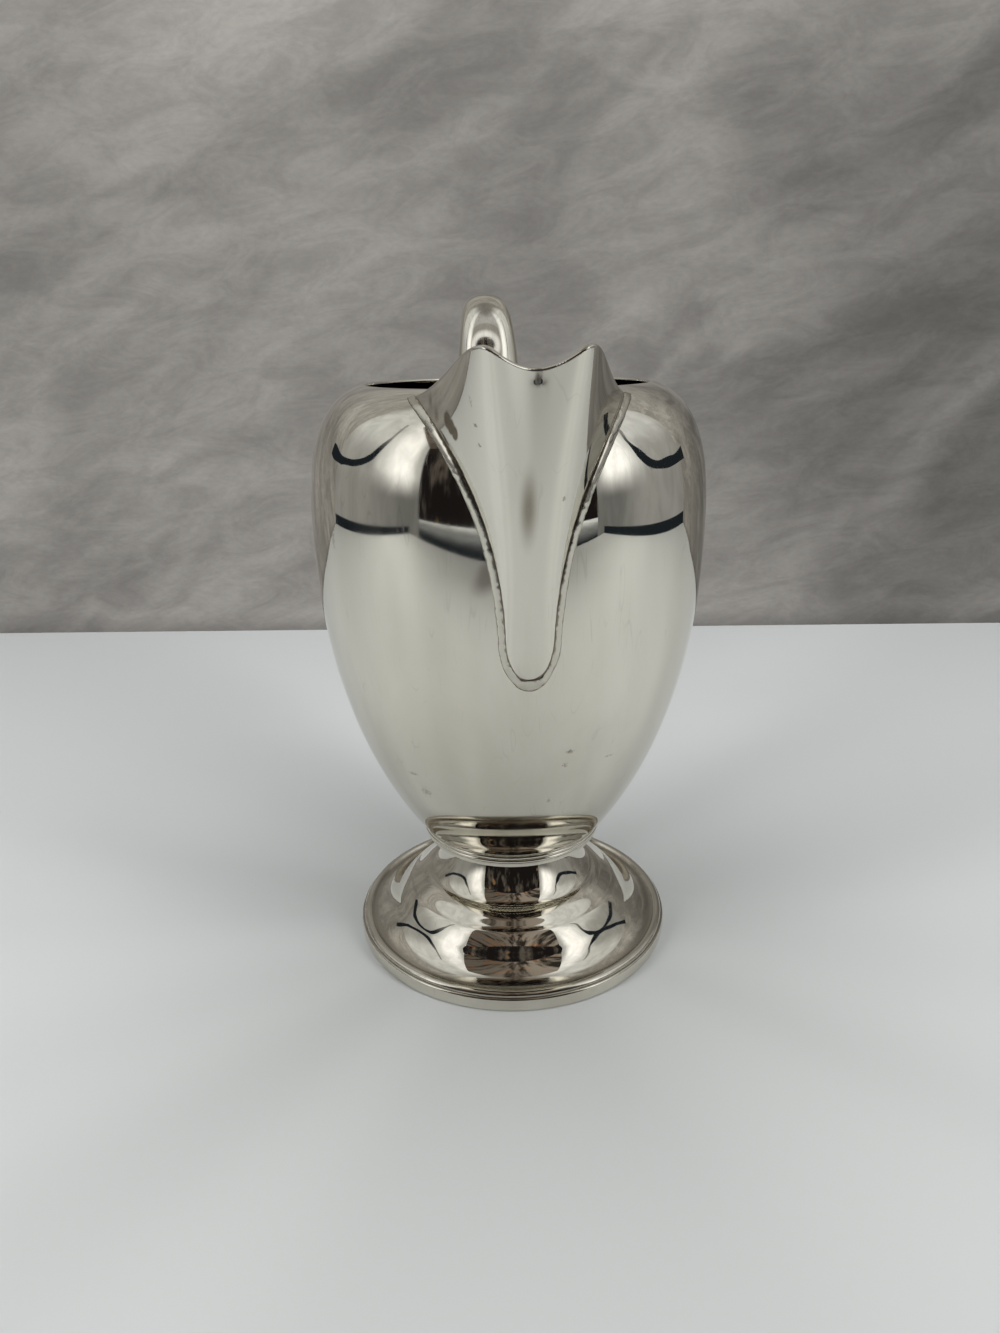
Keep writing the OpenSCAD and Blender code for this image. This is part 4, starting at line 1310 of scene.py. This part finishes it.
    def dim_room(self, tree):
        """What lies beyond the opening: dark, with a few faint warm spots of painted lamp light."""
        where = object_place(tree)
        soft = cloud(tree, mapped(tree, where, (1.0, 1.0, 0.35)), 4.2, detail=3.0, roughness=0.6)
        fine = cloud(tree, where, 3.4, detail=1.0)
        warm = colour_mix(tree, ramp(tree, soft, 0.50, 0.70), (0.012, 0.010, 0.010), self.stage.opening)
        return colour_mix(tree, ramp(tree, fine, 0.66, 0.80, 0.0, 0.7), warm, (0.34, 0.20, 0.10))

    def closing_seam(self, tree):
        """The sagging seam's colour: painted shade where the cloths gape, pale where they close high up."""
        closed = ramp(tree, object_parts(tree)[3], 0.32, 0.54)
        return colour_mix(tree, closed, self.stage.seam, self.stage.lining)

    def table_top(self, tree):
        """The table's colour: faint rays, painted shade before the camera and near the foot, a warm painted
        shade in front of the jug, and one soft painted shadow.
        """
        floor = self.stage.floor
        where, x, y, _ = object_parts(tree)
        tone = colour_mix(tree, ramp(tree, x, 0.14, 0.42), floor, scaled(floor, 0.56))
        bearing = calc(tree, "ABSOLUTE", calc(tree, "ARCTAN2", y, x))
        # A warm tint of painted shade on the table in front of the jug.
        warm = colour_mix(tree, 0.06, tone, (0.20, 0.16, 0.10))
        tone = colour_mix(tree, turn_ramp(tree, bearing, 92, 45), tone, warm)
        near = ramp(tree, vector_calc(tree, "LENGTH", where), 0.03, 0.14, 0.86, 1.0)
        rays = cloud(tree, vector_calc(tree, "NORMALIZE", where), 2.3, detail=0.0)
        tone = vector_calc(tree, "SCALE", tone, times(tree, near, ramp(tree, x, 0.0, 0.13, 1.0, 0.985),
                                                      ramp(tree, rays, 0.35, 0.65, 0.965, 1.035)))
        # One soft painted shadow on the table near the camera, which the jug mirrors.
        off = vector_calc(tree, "SUBTRACT", where, self.place(-0.078, -0.370, 0))
        far = vector_calc(tree, "LENGTH", mapped(tree, off, (0.5, 1.0, 1.0)))
        return colour_mix(tree, ramp(tree, far, 0.055, 0.012, 0.0, 0.6), tone, (0.10, 0.08, 0.07))

    def light_world(self, scene):
        """Even light from all sides, as the tent's cloth lets through."""
        scene.world = bpy.data.worlds.new("Tent light")
        scene.world.use_nodes = True
        back = scene.world.node_tree.nodes["Background"]
        back.inputs["Color"].default_value = (*self.stage.sky, 1.0)
        back.inputs["Strength"].default_value = 0.27

    def table(self):
        """The white table top, the painted shade in the gap before it and the sloping cloth beyond the gap.
        """
        white = bpy.data.materials.new("Table top")
        white.use_nodes = True
        shader = white.node_tree.nodes["Principled BSDF"]
        feed(white.node_tree, shader.inputs["Base Color"], self.table_top(white.node_tree))
        shader.inputs["Roughness"].default_value = 0.55
        shader.inputs["Specular IOR Level"].default_value = 0.25
        self.board("table_top", white, (self.left, self.right), (self.front, self.back), 0,
                   seen_by_light=True)
        gap = self.front - 0.075
        self.board("table_gap", self.glow("Table gap", self.stage.seam), self.LEDGE_X, (gap, self.front),
                   self.LEDGE_Z)
        self.board("front_ledge", self.glow("Ledge", self.sloping_cloth, folds=0.15), self.LEDGE_X,
                   (self.ROOM_Y, gap), self.LEDGE_Z)

    def tent(self):
        """Back, side and top cloths, the bright front edges and the dim room between them."""
        left, right, front, top, sill = self.left, self.right, self.front, self.top, self.SILL
        across, along, upright = (left, right), (front, self.back), (0, top)
        open_left, open_right = left + 0.115, right - 0.075
        lit = self.glow("Lit cloth", self.lit_cloth, folds=0.12)
        self.board("back_cloth", self.glow("Back cloth", self.crumpled_cloth), across, self.back, upright)
        self.board("left_cloth", lit, left, along, upright)
        self.board("right_cloth", lit, right, along, upright)
        self.board("top_cloth", lit, across, along, top)
        self.board("left_edge", lit, (left, open_left), front, upright)
        self.board("right_edge", lit, (open_right, right), front, upright)
        self.board("front_valance", self.glow("Valance", self.valance_cloth, folds=0.1),
                   (open_left, open_right), front, (sill, top))
        self.panel("camera_hood", self.glow("Camera hood", self.hood_cloth),
                   ((-0.085, -0.06, 0.201), (0.085, -0.06, 0.201), (0.47, front, sill - 0.02),
                    (-0.47, front, sill - 0.02)))
        self.board("dim_room", self.glow("Dim room", self.dim_room), (-2.4, 2.4), self.ROOM_Y, (-0.3, 1.6))

    def seams(self):
        """Painted shade in the gaps at the foot of the side cloths, and in the sagging ones between their
        halves.
        """
        left, right, back = self.left, self.right, self.back
        dark = self.glow("Seam", self.stage.seam)
        for name, x in (("left_seam", left + 0.002), ("right_seam", right - 0.002)):
            self.board(name, dark, x, (self.front, back), (0.0, 0.022))
        sagging = self.glow("Sagging seam", self.closing_seam)
        self.ribbon("left_wave", sagging, (
            (-0.394, back, 0.176), (left, 0.172, 0.193), (left, 0.052, 0.211), (left, -0.042, 0.255),
            (left, -0.095, 0.326), (left, -0.139, 0.505), (left, -0.120, 0.740)))
        self.ribbon("right_wave", sagging, (
            (0.448, back, 0.165), (right, 0.138, 0.175), (right, -0.010, 0.193), (right, -0.088, 0.255),
            (right, -0.138, 0.396), (right, -0.117, 0.530), (right, -0.100, 0.740)))

    def kept_in(self, place):
        """The nearest place that is just inside the tent's side and back cloths."""
        inset = 0.004
        return (min(max(place.x, inset + self.left), self.right - inset), min(place.y, self.back - inset),
                place.z)

    def ribbon(self, name, material, places):
        """A ribbon of painted shade through a few places on a cloth, a little inside it and thinner high up.
        """
        points = [Vector(place) for place in places]
        last = len(points) - 1
        line = []
        for i in range(last):
            before, after = points[max(i - 1, 0)], points[min(i + 2, last)]
            pull = [points[i], points[i] + (points[i + 1] - before) / 6,
                    points[i + 1] - (after - points[i]) / 6, points[i + 1]]
            line += [Vector(p) for p in run_of(pull, 10)]
        line.append(points[-1])
        rows = []
        for i, place in enumerate(line):
            way = (line[min(i + 1, len(line) - 1)] - line[max(i - 1, 0)]).normalized()
            inward = Vector((-place.x, -place.y, 0)).normalized()
            half = self.RIBBON_HALF * mixed(1.0, 0.5, part_way(place.z, 0.22, 0.47))
            off = way.cross(inward).normalized() * half * (1 + 0.5 * lumps.noise(place * 9))
            rows.append([self.place(*self.kept_in(place + off)), self.place(*self.kept_in(place - off))])
        self.hang(sheet_from(name, rows), material)

    def lamps(self):
        """Two upright soft lamps at the tent's front corners, and a broad one over the jug."""
        lamp_y = self.front + 0.1
        for name, x in (("left_lamp", self.left + 0.06), ("right_lamp", self.right - 0.06)):
            self.lamp(name, self.place(x, lamp_y, 0.42), 0.12, 0.6, 1.9)
        self.lamp("top_lamp", self.place(0.0, 0.03, 0.72), 0.7, 0.4, 1.75)

    @staticmethod
    def lamp(name, where, wide, tall, power):
        """An area lamp that faces the jug and lights it without being mirrored."""
        data = bpy.data.lights.new(name, "AREA")
        data.shape = "RECTANGLE"
        data.size, data.size_y = wide, tall
        data.energy = power
        lamp = bpy.data.objects.new(name, data)
        bpy.context.scene.collection.objects.link(lamp)
        aim = Vector((0, 0, 0.07)) - where
        lamp.matrix_world = Matrix.Translation(where) @ aim.to_track_quat("-Z", "Y").to_matrix().to_4x4()
        lamp.visible_glossy = False

    def camera(self, scene):
        """The camera of the photograph, at its measured place."""
        stage = self.stage
        pitch, roll, pan = stage.camera_pitch, stage.camera_roll, stage.camera_pan
        ahead = Vector((math.sin(pan), math.cos(pan), 0))
        aside = Vector((math.cos(pan), -math.sin(pan), 0))
        up = Vector((0, 0, 1))
        look = math.cos(pitch) * ahead - math.sin(pitch) * up
        over = math.cos(pitch) * up + math.sin(pitch) * ahead
        right = math.cos(roll) * aside + math.sin(roll) * over
        top = -math.sin(roll) * aside + math.cos(roll) * over
        axes = [self.place(*v) for v in (right, top, -look)]
        data = bpy.data.cameras.new("Photograph camera")
        data.sensor_width = 36.0
        data.lens = stage.lens
        data.clip_start = 0.01
        data.clip_end = 20.0
        camera = bpy.data.objects.new("Photograph camera", data)
        scene.collection.objects.link(camera)
        turn = Matrix(axes).transposed().to_4x4()
        camera.matrix_world = Matrix.Translation(self.place(0, -stage.camera_y, stage.camera_z)) @ turn
        scene.camera = camera


class JUG_PT_panel(bpy.types.Panel):
    """Lists the jug's pieces and the stage in the sidebar"""
    bl_label = "Cream jug"
    bl_idname = "JUG_PT_panel"
    bl_space_type = "VIEW_3D"
    bl_region_type = "UI"
    bl_category = "Cream jug"

    def draw(self, context):
        layout = self.layout
        for operator in (JUG_OT_foot, JUG_OT_bowl, JUG_OT_spout, JUG_OT_handle, JUG_OT_stage):
            layout.operator(operator.bl_idname)
        for group in (context.scene.jug_sizes, context.scene.jug_finish, context.scene.jug_stage):
            box = layout.box()
            for key in group.bl_rna.properties.keys():
                if key not in ("rna_type", "name"):
                    box.prop(group, key)


CLASSES = (JugSizes, SilverFinish, StageSettings, JUG_OT_foot, JUG_OT_bowl, JUG_OT_spout, JUG_OT_handle,
           JUG_OT_stage, JUG_PT_panel)


def register():
    for kind in CLASSES:
        bpy.utils.register_class(kind)
    bpy.types.Scene.jug_sizes = bpy.props.PointerProperty(type=JugSizes)
    bpy.types.Scene.jug_finish = bpy.props.PointerProperty(type=SilverFinish)
    bpy.types.Scene.jug_stage = bpy.props.PointerProperty(type=StageSettings)


def unregister():
    del bpy.types.Scene.jug_sizes
    del bpy.types.Scene.jug_finish
    del bpy.types.Scene.jug_stage
    for kind in reversed(CLASSES):
        bpy.utils.unregister_class(kind)


def main():
    register()
    scene = bpy.context.scene
    scene.view_settings.view_transform = "Standard"
    bpy.ops.jug.stage()
    bpy.ops.jug.foot()
    bpy.ops.jug.bowl()
    bpy.ops.jug.spout()
    bpy.ops.jug.handle()


if __name__ == "__main__":
    main()
